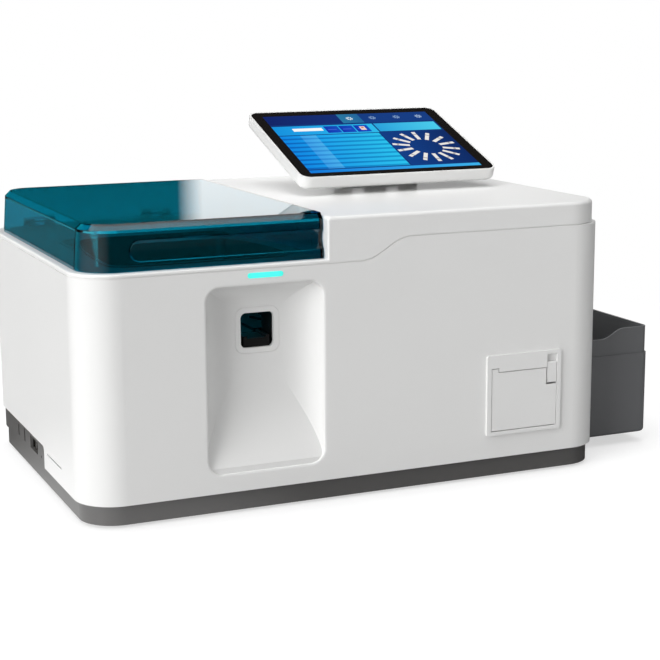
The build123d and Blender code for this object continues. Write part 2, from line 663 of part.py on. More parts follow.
def drive_motor():
    """Stepper motor hung under the plate."""
    x, y = pinion_place()
    motor = slab(x - 21, x + 21, y - 21, y + 21, PLATE_Z0 - 40, PLATE_Z0, 4)
    motor += rod_z(x, y, PLATE_Z0, PLATE_Z1 - 2, 11)
    motor -= rod_z(x, y, PLATE_Z0 - 20, PLATE_Z1, 2.5 + BORE_GAP)
    return motor


def drive_pinion():
    """Pinion on the motor's shaft."""
    x, y = pinion_place()
    half_pitch = 180.0 / PINION_TEETH
    wheel = Pos(x, y, 0) * gear(PINION_TEETH, half_pitch, GEAR_Z0 + 0.5, TABLE_Z0 - 0.8)
    return wheel + rod_z(x, y, PLATE_Z0 - 15, TABLE_Z0 - 0.8, 2.5)


def reader_rods():
    rear = WELL_Y1 + 2
    return Compound(children=[rod_y(PORT_X + side * ROD_SPREAD, rear, READER_BLOCK_Y + 8, ROD_Z, ROD_R)
                              for side in (-1, 1)])


def reader_block():
    """Post on the plate that holds the far ends of the reader's rods."""
    y0 = READER_BLOCK_Y
    post = block(PORT_X - 26, PORT_X + 26, y0, y0 + 12, PLATE_Z1, ROD_Z + 9)
    post -= block(PORT_X - 14, PORT_X + 14, y0 - 1, y0 + 13, PLATE_Z1 + 8, ROD_Z - 12)
    for side in (-1, 1):
        post -= rod_y(PORT_X + side * ROD_SPREAD, y0 - 1, y0 + 8, ROD_Z, ROD_R + BORE_GAP)
    return post


def reader_head():
    """Optical head that scans a card along its length."""
    head = slab(PORT_X - 24, PORT_X + 24, READER_Y0, READER_Y1, READER_Z0, READER_Z1, 3)
    head -= block(PORT_X - 10, PORT_X + 10, READER_Y0 - 1, READER_Y1 + 1, READER_Z1 - 8, READER_Z1 + 1)
    for side in (-1, 1):
        head -= rod_y(PORT_X + side * ROD_SPREAD, READER_Y0 - 1, READER_Y1 + 1, ROD_Z, ROD_R + BORE_GAP)
    middle = (READER_Y0 + READER_Y1) / 2
    head -= rod_z(PORT_X, middle, READER_Z0 - 1, READER_Z0 + 6, 7 + BORE_GAP)
    return head


def reader_lens():
    middle = (READER_Y0 + READER_Y1) / 2
    lens = rod_z(PORT_X, middle, READER_Z0 - 2, READER_Z0 + 6, 7)
    return chamfer(lens.edges().group_by(Axis.Z)[0], length=1.0)


def waste_chute():
    """Folded sheet funnel that turns a pushed-out card down into the bin."""
    y0 = TABLE_Y - CHUTE_HALF
    y1 = TABLE_Y + CHUTE_HALF
    z0 = BIN_Z1 + 3
    top = EJECT_Z1 + 6
    chute = block(CHUTE_X0, CHUTE_X1, y0, y0 + 1.5, z0, top)
    chute += block(CHUTE_X0, CHUTE_X1, y1 - 1.5, y1, z0, top)
    chute += block(CHUTE_X1 - 1.5, CHUTE_X1, y0, y1, z0, top)
    chute += block(CHUTE_X0, CHUTE_X0 + 12, y0, y1, EJECT_Z1, top)
    for y in (y0, y1 - 12):
        chute += block(PLATE_X1 - 14, CHUTE_X0 + 4, y, y + 12, PLATE_Z1, PLATE_Z1 + 2)
    return chute


def ejector_rail():
    return block(PORT_X + 26, CHUTE_X1 - 1.5, TABLE_Y - 4, TABLE_Y + 4, EJECT_Z0, EJECT_Z1)


def card_ejector():
    """Carriage on the rail, with the finger that pushes a used card out."""
    x0 = PORT_X + 36
    carriage = block(x0, x0 + 18, TABLE_Y - 9, TABLE_Y + 9, EJECT_Z0 - 3, EJECT_Z1 + 3)
    carriage -= block(x0 - 1, x0 + 19, TABLE_Y - 4 - SLIDE_GAP, TABLE_Y + 4 + SLIDE_GAP,
                      EJECT_Z0 - SLIDE_GAP, EJECT_Z1 + SLIDE_GAP)
    finger = block(x0 + 7, x0 + 11, TABLE_Y - 6, TABLE_Y + 6, TABLE_Z1 + 2 * SLIDE_GAP, EJECT_Z0 - 3)
    return carriage + finger


def waste_bin():
    """Open-topped bin with a finger dip in its front wall and a ledge below the rim."""
    back = BIN_X0 - 2 * BIN_R
    lower = slab(back, BIN_X1, BIN_Y0, BIN_Y1, BIN_Z0, BIN_LEDGE, BIN_R)
    lower = fillet(lower.faces().sort_by(Axis.Z)[0].edges(), radius=4)
    step = 1.6
    upper = slab(back, BIN_X1 - step, BIN_Y0 + step, BIN_Y1 - step, BIN_LEDGE - 1, BIN_Z1, BIN_R - step)
    body = (lower + upper) & block(BIN_X0, BIN_X1, BIN_Y0, BIN_Y1, BIN_Z0, BIN_Z1)
    inner = BIN_WALL + step
    body -= slab(BIN_X0 + BIN_WALL, BIN_X1 - inner, BIN_Y0 + inner, BIN_Y1 - inner, BIN_Z0 + BIN_WALL,
                 BIN_Z1 + 1, BIN_R - inner)
    bend = (BIN_RISE_X1 - BIN_RISE_X0) * 0.45
    rise = Bezier((BIN_RISE_X0, BIN_LOW), (BIN_RISE_X0 + bend, BIN_LOW),
                  (BIN_RISE_X1 - bend, BIN_Z1), (BIN_RISE_X1, BIN_Z1))
    rest = Polyline((BIN_RISE_X1, BIN_Z1), (BIN_RISE_X1, BIN_Z1 + 9), (BIN_X0 - 5, BIN_Z1 + 9),
                    (BIN_X0 - 5, BIN_LOW), (BIN_RISE_X0, BIN_LOW))
    dip = Pos(0, BIN_Y0 + 8, 0) * extrude(make_face(Plane.XZ * (rise + rest)), amount=20)
    body -= dip
    body -= block(BIN_X0 - 5, BIN_X0 + 5, BIN_Y0 - 1, BIN_Y1 + 1, BIN_LOW, BIN_Z1 + 5)
    return body


def bin_runners():
    """Two rails on the base floor that the bin slides along."""
    rails = []
    for y in (BIN_Y0 + 12, BIN_Y1 - 24):
        rails.append(block(BIN_X0 + 2, RIGHT - BASE_INSET - WALL - 1, y, y + 12, FLOOR_TOP, BIN_Z0 - SLIDE_GAP))
    return Compound(children=rails)


def door_space(gap, y0, y1):
    """The paper door's outline, stepped along its top edge and notched for the lever."""
    points = [
        (DOOR_X0 - gap, DOOR_Z0 - gap),
        (DOOR_X1 + gap, DOOR_Z0 - gap),
        (DOOR_X1 + gap, LEVER_Z0 - 2 * SLIT + gap),
        (LEVER_X0 - 2 * SLIT + gap, LEVER_Z0 - 2 * SLIT + gap),
        (LEVER_X0 - 2 * SLIT + gap, DOOR_Z1 + gap),
        (DOOR_STEP_X + gap, DOOR_Z1 + gap),
        (DOOR_STEP_X + gap, DOOR_Z_STEP + gap),
        (DOOR_X0 - gap, DOOR_Z_STEP + gap),
    ]
    face = make_face(Plane.XZ * Polyline(*points, close=True))
    return Pos(0, y1, 0) * extrude(face, amount=y1 - y0)


def printer_frame():
    """White bezel with the fixed upper panel, and the bay behind it for the paper roll."""
    y0 = FRONT - PRINTER_PROUD
    frame = panel(PRINTER_X0, PRINTER_X1, PRINTER_Z0, PRINTER_Z1, y0, FRONT, 2.5)
    x0 = PRINTER_X0 + 3
    x1 = PRINTER_X1 - 3
    z0 = PRINTER_Z0 + 3
    z1 = PRINTER_Z1 - 3
    frame += block(x0, x1, FRONT, BAY_BACK, z0, z1)
    frame -= block(x0 + 2, x1 - 2, FRONT + 2, BAY_BACK - 2, z0 + 2, z1 - 2)
    frame -= door_space(SLIT, y0 - 1, FRONT + 3)
    frame -= block(LEVER_X0 - SLIT, DOOR_X1 + SLIT, y0 - 1, FRONT + 3, LEVER_Z0 - 2 * SLIT, LEVER_Z0 + 12)
    frame -= block(LEVER_X0 - SLIT, DOOR_X1 + SLIT, y0 - 1, FRONT + 1.2, LEVER_Z0, POCKET_Z1)
    frame -= rod_x(DOOR_X0 - 3, DOOR_X1 + 3, DOOR_PIVOT_Y, DOOR_PIVOT_Z, 1 + BORE_GAP)
    frame -= rod_x(DOOR_X0 - SLIT, DOOR_X1 + SLIT, DOOR_PIVOT_Y, DOOR_PIVOT_Z, DOOR_SWEEP_R)
    frame -= rod_x(LEVER_X0, PRINTER_X1 - 2, LEVER_Y, LEVER_Z0 + 6, 1 + BORE_GAP)
    return frame


def printer_door():
    """Paper door, hinged along its foot, with two lugs for the platen roller."""
    y0 = FRONT - PRINTER_PROUD + 0.4
    door = door_space(0, y0, y0 + 2.4)
    hinge = rod_x(DOOR_X0 + 4, DOOR_X1 - 4, DOOR_PIVOT_Y, DOOR_PIVOT_Z, 2.6)
    door += hinge
    for x in (DOOR_X0 + 6, LEVER_X0 - 7):
        lug = block(x, x + 3, y0 + 2, PLATEN_Y, PLATEN_Z - 4, PLATEN_Z + 4)
        lug += rod_x(x, x + 3, PLATEN_Y, PLATEN_Z, 4)
        lug -= rod_x(x - 1, x + 4, PLATEN_Y, PLATEN_Z, 1.5 + BORE_GAP)
        door += lug
    door -= rod_x(DOOR_X0 + 3, DOOR_X1 - 3, DOOR_PIVOT_Y, DOOR_PIVOT_Z, 1 + BORE_GAP)
    return door


def door_pin():
    return rod_x(DOOR_X0 - 2.8, DOOR_X1 + 2.8, DOOR_PIVOT_Y, DOOR_PIVOT_Z, 1.0)


def platen_roller():
    """Rubber roller on the door that feeds the paper past the head."""
    x0 = DOOR_X0 + 6
    x1 = LEVER_X0 - 4
    roller = rod_x(x0 + 3.4, x1 - 3.4, PLATEN_Y, PLATEN_Z, PLATEN_R)
    return roller + rod_x(x0, x1, PLATEN_Y, PLATEN_Z, 1.5)


def print_head():
    """Thermal head bar above the platen, carried by the bay's roof."""
    head = block(DOOR_X0 + 10, LEVER_X0 - 8, FRONT + 3, FRONT + 16, PLATEN_Z + 7, PRINTER_Z1 - 5)
    head -= block(DOOR_X0 + 16, LEVER_X0 - 14, FRONT + 7, FRONT + 17, PLATEN_Z + 12, PRINTER_Z1 - 8)
    return head


def printer_lever():
    """Release lever at the door's right top corner."""
    y0 = FRONT - PRINTER_PROUD + 0.4
    lever = block(LEVER_X0, DOOR_X1, y0, y0 + 3, LEVER_Z0, LEVER_Z1)
    lever = fillet(lever.edges().filter_by(Axis.X).group_by(Axis.Y)[0], radius=1.2)
    middle = LEVER_Z0 + 6
    lever += block(LEVER_X0 + 2, DOOR_X1 - 2, y0 + 2, LEVER_Y + 3.4, middle - 3, middle + 3)
    lever -= rod_x(LEVER_X0 - 1, DOOR_X1 + 1, LEVER_Y, middle, 1 + BORE_GAP)
    return lever


def lever_pin():
    return rod_x(LEVER_X0, PRINTER_X1 - 2, LEVER_Y, LEVER_Z0 + 6, 1.0)


def paper_roll():
    """Paper roll on its core."""
    middle = (DOOR_X0 + LEVER_X0) / 2
    roll = rod_x(middle - ROLL_W / 2, middle + ROLL_W / 2, ROLL_Y, ROLL_Z, ROLL_R)
    roll -= rod_x(middle - ROLL_W, middle + ROLL_W, ROLL_Y, ROLL_Z, 6)
    return roll


def roll_spool():
    """Fixed spindle across the bay that the roll turns on."""
    return rod_x(PRINTER_X0 + 5, PRINTER_X1 - 5, ROLL_Y, ROLL_Z, 5.9)


def screen_frame():
    """Location of the touch screen's own plane."""
    return Pos(SCREEN_X, SCREEN_Y, SCREEN_Z) * Rot(SCREEN_TILT, 0, 0)


def pivot_place():
    """The tilt pivot in the screen's own plane: its place up the glass and out of it."""
    tilt = math.radians(SCREEN_TILT)
    dy = PIVOT_Y - SCREEN_Y
    dz = PIVOT_Z - SCREEN_Z
    return dy * math.cos(tilt) + dz * math.sin(tilt), dz * math.cos(tilt) - dy * math.sin(tilt)


def screen_slab(inset, n0, n1, radius):
    return slab(inset, SCREEN_W - inset, inset, SCREEN_H - inset, n0, n1, radius)


def screen_shell():
    """White back shell of the touch screen with its two hinge bosses."""
    shell = screen_slab(0, -SCREEN_T, 0, SCREEN_R)
    shell = fillet(shell.faces().sort_by(Axis.Z)[0].edges(), radius=6)
    shell -= screen_slab(2.2, -SCREEN_T + 2.5, 1, SCREEN_R - 2.2)
    shell += screen_slab(2, -SCREEN_T + 2, -4.5, SCREEN_R - 2) - screen_slab(8, -SCREEN_T, 0, SCREEN_R - 8)
    shell = screen_frame() * shell
    middle = SCREEN_X + SCREEN_W / 2
    up, out = pivot_place()
    for side in (-1, 1):
        x = middle + side * 22
        boss = rod_x(x - 8, x + 8, PIVOT_Y, PIVOT_Z, PIVOT_R)
        boss += screen_frame() * block(x - 8 - SCREEN_X, x + 8 - SCREEN_X, up - 4.9, up + 4.9, out, -SCREEN_T + 0.5)
        boss -= rod_x(x - 9, x + 9, PIVOT_Y, PIVOT_Z, PIVOT_PIN + BORE_GAP)
        shell += boss
    return shell


def screen_glass():
    """Touch glass with a dark border."""
    return screen_frame() * screen_slab(2.4, -2.0, 0, SCREEN_R - 2.4)


def screen_panel():
    """Display module behind the glass."""
    return screen_frame() * block(12.2, SCREEN_W - 13.5, 8.5, SCREEN_H - 11.2, -8.5, -2.0)


def screen_board():
    """Controller board of the touch screen."""
    u0 = SCREEN_W / 2 - 64
    board = block(u0, u0 + 130, 60, 140, -SCREEN_T + 4.2, -SCREEN_T + 5.6)
    for u in (u0 + 6, u0 + 124):
        for v in (66, 134):
            board += rod_z(u, v, -SCREEN_T + 2.5, -SCREEN_T + 4.2, 3)
    board += block(u0 + 30, u0 + 70, 80, 120, -SCREEN_T + 5.6, -8.5)
    return screen_frame() * board


def screen_stand():
    """Bracket on the lid with the lugs that the screen tilts between."""
    middle = SCREEN_X + SCREEN_W / 2
    stand = slab(middle - 54, middle + 54, PIVOT_Y - 8, PIVOT_Y + 32, LID_TOP, LID_TOP + 2.5, 6)
    for x in (middle - 42, middle, middle + 42):
        half = 10 if x != middle else 12
        lug = block(x - half, x + half, PIVOT_Y - 5, PIVOT_Y + 5, LID_TOP + 2, PIVOT_Z)
        lug += rod_x(x - half, x + half, PIVOT_Y, PIVOT_Z, PIVOT_R)
        lug -= rod_x(x - half - 1, x + half + 1, PIVOT_Y, PIVOT_Z, PIVOT_PIN + BORE_GAP)
        stand += lug
    return stand


def screen_pin():
    middle = SCREEN_X + SCREEN_W / 2
    return rod_x(middle - 52, middle + 52, PIVOT_Y, PIVOT_Z, PIVOT_PIN)


def fan_frame():
    """Square frame of the rear fan with its motor spider."""
    half = FAN_SIZE / 2
    y1 = REAR - WALL
    y0 = y1 - FAN_T
    frame = panel(FAN_X - half, FAN_X + half, FAN_Z - half, FAN_Z + half, y0, y1, 4)
    frame -= rod_y(FAN_X, y0 - 1, y1 + 1, FAN_Z, FAN_R)
    spider = rod_y(FAN_X, y0, y0 + 3, FAN_Z, 15)
    for turn in range(4):
        arm = block(0, FAN_R + 1, y0, y0 + 3, -2, 2)
        spider += Pos(FAN_X, 0, FAN_Z) * Rot(0, 45 + 90 * turn, 0) * arm
    frame += spider
    frame += rod_y(FAN_X, y0 + 3, y0 + 12, FAN_Z, 2)
    return frame


def fan_rotor():
    """Fan hub with its blades."""
    y0 = REAR - WALL - FAN_T + 3.5
    rotor = rod_y(FAN_X, y0, y0 + 19, FAN_Z, 16)
    rotor -= rod_y(FAN_X, y0 - 1, y0 + 10, FAN_Z, 2 + BORE_GAP)
    for blade in range(7):
        vane = Pos(24.5, y0 + 9.5, 0) * Rot(35, 0, 0) * Box(22, 20, 1.4)
        rotor += Pos(FAN_X, 0, FAN_Z) * Rot(0, 360.0 / 7 * blade, 0) * vane
    return rotor & rod_y(FAN_X, y0, y0 + 20, FAN_Z, 36.4)


def fan_guard():
    """Finger guard over the fan opening, on the outside of the rear wall."""
    guard = rod_y(FAN_X, REAR + 1.2, REAR + 2.8, FAN_Z, 6)
    for radius in (16, 26, 36):
        hoop = rod_y(FAN_X, REAR + 1.2, REAR + 2.8, FAN_Z, radius + 0.8)
        guard += hoop - rod_y(FAN_X, REAR, REAR + 4, FAN_Z, radius - 0.8)
    for turn in range(4):
        bar = block(5, 52, REAR, REAR + 1.6, -0.9, 0.9)
        guard += Pos(FAN_X, 0, FAN_Z) * Rot(0, 45 + 90 * turn, 0) * bar
    return guard


def power_inlet():
    """Mains inlet with its flange outside and its body inside the rear wall."""
    inlet = panel(INLET_X - 24, INLET_X + 24, INLET_Z - 14, INLET_Z + 14, REAR, REAR + 2.5, 4)
    inlet += panel(INLET_X - 14, INLET_X + 14, INLET_Z - 11, INLET_Z + 11, REAR - 22, REAR, 2)
    inlet -= panel(INLET_X - 12, INLET_X + 12, INLET_Z - 8.5, INLET_Z + 8.5, REAR - 15, REAR + 3, 3)
    for x, z in ((-7, -2), (0, 2), (7, -2)):
        inlet += block(INLET_X + x - 1, INLET_X + x + 1, REAR - 16, REAR, INLET_Z + z - 2, INLET_Z + z + 2)
    return inlet


def switch_body():
    """Frame of the mains switch."""
    body = panel(SWITCH_X - 10, SWITCH_X + 10, INLET_Z - 14, INLET_Z + 14, REAR, REAR + 2, 2)
    body += panel(SWITCH_X - 7, SWITCH_X + 7, INLET_Z - 11, INLET_Z + 11, REAR - 16, REAR, 1)
    body -= block(SWITCH_X - 5.5, SWITCH_X + 5.5, REAR - 9, REAR + 3, INLET_Z - 10, INLET_Z + 10)
    return body


def power_switch():
    """Rocker, pressed in at its upper end."""
    rocker = rod_x(SWITCH_X - 5.2, SWITCH_X + 5.2, REAR - 4, INLET_Z, 9.4)
    rocker &= block(SWITCH_X - 6, SWITCH_X + 6, REAR - 2, REAR + 8, INLET_Z - 9.6, INLET_Z + 9.6)
    hollow = Pos(SWITCH_X, REAR + 30, INLET_Z) * Rot(0, 90, 0) * Cylinder(26.5, 12)
    rocker -= hollow
    rocker += rod_x(SWITCH_X - 5.2, SWITCH_X + 5.2, REAR - 4, INLET_Z, 3)
    rocker -= rod_x(SWITCH_X - 6, SWITCH_X + 6, REAR - 4, INLET_Z, 1 + BORE_GAP)
    pivot = Pos(SWITCH_X, REAR - 4, INLET_Z)
    return pivot * Rot(ROCKER_TILT, 0, 0) * pivot.inverse() * rocker


def switch_pin():
    return rod_x(SWITCH_X - 5.5, SWITCH_X + 5.5, REAR - 4, INLET_Z, 1)


def main_board():
    """Controller board on standoffs at the left, behind the connectors."""
    x1 = BOARD_X + 203
    under = BOARD_Z - 1.6
    board = block(BOARD_X, x1, BOARD_Y0, BOARD_Y1, under, BOARD_Z)
    for x in (BOARD_X + 7, x1 - 8):
        for y in (BOARD_Y0 + 8, BOARD_Y1 - 8):
            board += rod_z(x, y, FLOOR_TOP, under, 3.5)
    board += block(BOARD_X + 83, BOARD_X + 118, BOARD_Y0 + 38, BOARD_Y0 + 73, BOARD_Z, BOARD_Z + 3)
    board += block(BOARD_X + 143, BOARD_X + 163, BOARD_Y0 + 78, BOARD_Y0 + 148, BOARD_Z, BOARD_Z + 6)
    for x in (BOARD_X + 173, BOARD_X + 185):
        board += rod_z(x, BOARD_Y0 + 118, BOARD_Z, BOARD_Z + 16, 5)
    return board


def network_port():
    jack = block(JACK_X, JACK_X + 21, NETWORK_Y - 9, NETWORK_Y + 9, BOARD_Z, BOARD_Z + 13.5)
    jack -= block(JACK_X - 1, JACK_X + 15, NETWORK_Y - 7, NETWORK_Y + 7, BOARD_Z + 2, BOARD_Z + 11.5)
    return jack


def serial_port():
    shell = block(JACK_X, JACK_X + 21, SERIAL_Y - 7, SERIAL_Y + 7, BOARD_Z, BOARD_Z + 13.5)
    shell -= block(JACK_X - 1, JACK_X + 11, SERIAL_Y - 5.5, SERIAL_Y + 5.5, BOARD_Z + 2, BOARD_Z + 11.5)
    return shell


def usb_ports():
    ports = []
    half = 2.4
    for y, height in USB_PLACES:
        top = BOARD_Z + height - 0.5
        shell = block(JACK_X, JACK_X + 19, y - half, y + half, BOARD_Z, top)
        shell -= block(JACK_X - 1, JACK_X + 15, y - half + 0.6, y + half - 0.6, BOARD_Z + 0.8, top - 0.8)
        ports.append(shell)
    return Compound(children=ports)


def power_supply():
    """Enclosed power supply on the base floor."""
    x0 = RIGHT - 226
    y0 = BIN_Y1 + 20
    box = block(x0, x0 + 160, y0, y0 + 96, FLOOR_TOP, FLOOR_TOP + 42)
    for step in range(8):
        x = x0 + 14 + 17 * step
        box -= block(x, x + 5, y0 + 18, y0 + 78, FLOOR_TOP + 40.5, FLOOR_TOP + 43)
    return box


def rubber_feet():
    feet = []
    for x in (LEFT + 46, RIGHT - 46):
        for y in (FRONT + 40, REAR - 40):
            foot = Pos(x, y, -FOOT_H) * extrude(Circle(15), amount=FOOT_H, taper=-12)
            feet.append(foot)
    return Compound(children=feet)


def rear_screws():
    """Pan-head screws in the rear panel's corners and at the rear of the lid."""
    inset = 7
    places = [(x, z) for x in (PANEL_X0 + inset, PANEL_X1 - inset) for z in (PANEL_Z0 + inset, PANEL_Z1 - inset)]
    places += [(x, SEAM_HIGH + 8) for x in (SEAM_X1 + 10, RIGHT - 56)]
    screws = []
    for x, z in places:
        head = rod_y(x, REAR, REAR + 2, z, 3.2)
        head -= block(x - 2, x + 2, REAR + 1, REAR + 3, z - 0.4, z + 0.4)
        head -= block(x - 0.4, x + 0.4, REAR + 1, REAR + 3, z - 2, z + 2)
        screws.append(head)
    return Compound(children=screws)


PIECES = {
    "base_tray": base_tray,
    "lower_housing": lower_housing,
    "rear_panel": rear_panel,
    "upper_housing": upper_housing,
    "sample_bay_deck": sample_bay_deck,
    "top_cover": top_cover,
    "cover_hinges": cover_hinges,
    "cover_hinge_pins": cover_hinge_pins,
    "status_light": status_light,
    "port_frame": port_frame,
    "port_tunnel": port_tunnel,
    "card_stage": card_stage,
    "mechanism_plate": mechanism_plate,
    "plate_pillars": plate_pillars,
    "plate_screws": plate_screws,
    "carousel": carousel,
    "carousel_gear": carousel_gear,
    "carousel_spindle": carousel_spindle,
    "carousel_nut": carousel_nut,
    "carousel_bearing": carousel_bearing,
    "drive_motor": drive_motor,
    "drive_pinion": drive_pinion,
    "reader_rods": reader_rods,
    "reader_block": reader_block,
    "reader_head": reader_head,
    "reader_lens": reader_lens,
    "waste_chute": waste_chute,
    "ejector_rail": ejector_rail,
    "card_ejector": card_ejector,
    "waste_bin": waste_bin,
    "bin_runners": bin_runners,
    "printer_frame": printer_frame,
    "printer_door": printer_door,
    "door_pin": door_pin,
    "platen_roller": platen_roller,
    "print_head": print_head,
    "printer_lever": printer_lever,
    "lever_pin": lever_pin,
    "paper_roll": paper_roll,
    "roll_spool": roll_spool,
    "screen_shell": screen_shell,
    "screen_glass": screen_glass,
    "screen_panel": screen_panel,
    "screen_board": screen_board,
    "screen_stand": screen_stand,
    "screen_pin": screen_pin,
    "fan_frame": fan_frame,
    "fan_rotor": fan_rotor,
    "fan_guard": fan_guard,
    "power_inlet": power_inlet,
    "switch_body": switch_body,
    "power_switch": power_switch,
    "switch_pin": switch_pin,
    "main_board": main_board,
    "network_port": network_port,
    "serial_port": serial_port,
    "usb_ports": usb_ports,
    "power_supply": power_supply,
    "rubber_feet": rubber_feet,
    "rear_screws": rear_screws,
}

os.makedirs("parts", exist_ok=True)
for name, make in PIECES.items():
    export_step(make(), f"parts/{name}.step")
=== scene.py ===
# %% [markdown]
# Dressing a bench analyzer in Blender
#
# The model is a fluorescence immunoassay analyzer: a white moulded housing on a dark base, a tinted
# cover over the sample bay, a card port in the front, a roll printer, a touch screen and a waste bin.
# Its rigid pieces come packed from CAD, all in metres and in one frame, so they need no placing here.
# This lesson gives them their finishes and adds the one piece that only shows, the picture on the
# display.

# %% Load the frame
import math

import bpy
import numpy as np
from mathutils import Matrix, Vector


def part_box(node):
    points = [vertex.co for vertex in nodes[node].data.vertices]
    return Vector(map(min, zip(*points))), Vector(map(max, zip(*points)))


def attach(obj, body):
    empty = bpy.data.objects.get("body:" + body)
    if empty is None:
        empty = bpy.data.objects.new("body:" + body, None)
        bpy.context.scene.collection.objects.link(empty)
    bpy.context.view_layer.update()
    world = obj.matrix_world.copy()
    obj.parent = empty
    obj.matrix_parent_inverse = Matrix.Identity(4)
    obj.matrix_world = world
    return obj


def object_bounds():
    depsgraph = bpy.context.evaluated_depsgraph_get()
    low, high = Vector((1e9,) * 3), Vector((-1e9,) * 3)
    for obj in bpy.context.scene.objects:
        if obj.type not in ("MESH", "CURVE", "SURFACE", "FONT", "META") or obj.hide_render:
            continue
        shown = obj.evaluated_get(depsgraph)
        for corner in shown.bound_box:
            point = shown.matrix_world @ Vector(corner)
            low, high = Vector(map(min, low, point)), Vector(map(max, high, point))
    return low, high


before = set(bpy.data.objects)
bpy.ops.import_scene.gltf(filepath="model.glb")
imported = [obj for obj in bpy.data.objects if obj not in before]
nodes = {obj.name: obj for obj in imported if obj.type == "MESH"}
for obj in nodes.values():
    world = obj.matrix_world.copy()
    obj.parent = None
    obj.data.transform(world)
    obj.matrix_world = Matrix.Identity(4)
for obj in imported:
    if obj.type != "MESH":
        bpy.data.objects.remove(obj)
cad_box = [list(corner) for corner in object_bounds()]

# %% [markdown]
# The camera
#
# The camera stands at the left front, a little above the instrument, and looks down by 11 degrees.
# The long lens keeps the upright edges nearly parallel. It could be aimed by eye, but its place and
# its angles were worked out from the edges of the housing, so that the scene can be laid over the
# photograph.

# %% Camera
YAW, PITCH, ROLL = math.radians(23.57), math.radians(11.30), math.radians(-0.344)
STAND_POINT = (-0.6668, -1.6448, 0.4928)
LENS_MM, FILM_MM = 86.56, 36.0
FARTHEST = 60.0
camera = bpy.data.objects.new("camera", bpy.data.cameras.new("camera"))
bpy.context.collection.objects.link(camera)
bpy.context.scene.camera = camera
camera.data.lens = LENS_MM
camera.data.sensor_width = FILM_MM
camera.data.clip_end = FARTHEST
ahead = Vector((math.sin(YAW) * math.cos(PITCH), math.cos(YAW) * math.cos(PITCH), -math.sin(PITCH)))
level = Vector((math.cos(YAW), -math.sin(YAW), 0))
upright = level.cross(ahead)
across = level * math.cos(ROLL) + upright * math.sin(ROLL)
over = upright * math.cos(ROLL) - level * math.sin(ROLL)
facing = Matrix((across, over, -ahead)).transposed().to_4x4()
camera.matrix_world = Matrix.Translation(STAND_POINT) @ facing
print("camera looks along", tuple(round(v, 3) for v in ahead))

# %% [markdown]
# Colour and node helpers
#
# A screen colour such as #E8E8E6 is stored on a curve, and a shader works in linear light, so one
# function turns one into the other. A second adds any shader node, with its properties, values and
# links. Two small ones start a material and give its patterns a scale in millimetres. The last puts a
# material on CAD nodes and new pieces alike, and leaves their vertices untouched. Materials could be
# built by hand in the node editor, but written down they can be read, changed and made again.

# %% Helpers for materials
scene = bpy.context.scene
scene.view_settings.view_transform = "Standard"


def linear(code):
    """sRGB hex to linear RGBA: v / 12.92 below 0.04045, ((v + 0.055) / 1.055) ** 2.4 above."""
    value = np.array([int(code[i:i + 2], 16) for i in (1, 3, 5)]) / 255
    value = np.where(value <= 0.04045, value / 12.92, ((value + 0.055) / 1.055) ** 2.4)
    return (*value.tolist(), 1.0)


def add(tree, kind, sockets=(), **settings):
    """Adds a shader node, sets its properties, and fills its sockets with values or links."""
    made = tree.nodes.new("ShaderNode" + kind)
    for name, value in settings.items():
        setattr(made, name, value)
    for name, value in dict(sockets).items():
        if isinstance(value, bpy.types.NodeSocket):
            tree.links.new(value, made.inputs[name])
        else:
            made.inputs[name].default_value = value
    return made


def blank(name):
    """An empty node material with its output node."""
    material = bpy.data.materials.new(name)
    material.use_nodes = True
    tree = material.node_tree
    tree.nodes.clear()
    return material, tree, add(tree, "OutputMaterial")


def millimetres(tree):
    """Object coordinates in millimetres."""
    place = add(tree, "TexCoord").outputs["Object"]
    return add(tree, "VectorMath", {0: place, 1: (1000, 1000, 1000)}, operation="MULTIPLY").outputs[0]


def dress(material, *names):
    """Puts a material on CAD nodes or new objects."""
    for name in names:
        data = (nodes[name] if name in nodes else bpy.data.objects[name]).data
        data.materials.clear()
        data.materials.append(material)


print("mid grey in linear light", round(linear("#808080")[0], 3))

# %% [markdown]
# Moulded plastics
#
# Nearly all that shows is injection-moulded ABS or polycarbonate. The tool's surface leaves a fine
# spark grain, which breaks up the gloss, and a wide moulding has very shallow waves. One flat colour
# with one roughness would look like card, so one function makes every moulded finish: a grain of a
# stated size for the bump, the waves for the roughness, and a faint drift of tone. The real grain is
# near 0.1 mm, too fine to show here, so it is drawn coarser.

# %% Moulded finish
WAVE_MM = 90.0


def moulded(name, code, rough, grain=0.5, depth=0.02, drift=0.03, specular=0.5):
    """Moulded plastic: fine noise moves the normal, and slow noise moves the tone and the gloss.

    Grain and depth are the size and height of the surface grain in millimetres.
    """
    material, tree, out = blank(name)
    place = millimetres(tree)
    fine = add(tree, "TexNoise", {"Vector": place, "Scale": 1 / grain, "Detail": 2.0, "Roughness": 0.6})
    slow = add(tree, "TexNoise", {"Vector": place, "Scale": 1 / WAVE_MM, "Detail": 3.0})
    colour = np.array(linear(code)[:3])
    ends = [(*(colour * k).clip(0, 1).tolist(), 1.0) for k in (1 - drift, 1 + drift)]
    tone = add(tree, "Mix", {"Factor": slow.outputs["Fac"], 6: ends[0], 7: ends[1]}, data_type="RGBA")
    gloss = add(tree, "MapRange", {
        "Value": slow.outputs["Fac"], "To Min": rough * 0.9, "To Max": rough * 1.1})
    bump = add(tree, "Bump", {"Height": fine.outputs["Fac"], "Strength": 0.25, "Distance": depth / 1000})
    shader = add(tree, "BsdfPrincipled", {
        "Base Color": tone.outputs[2], "Roughness": gloss.outputs["Result"], "IOR": 1.53,
        "Specular IOR Level": specular, "Normal": bump.outputs["Normal"]})
    tree.links.new(shader.outputs[0], out.inputs[0])
    return material


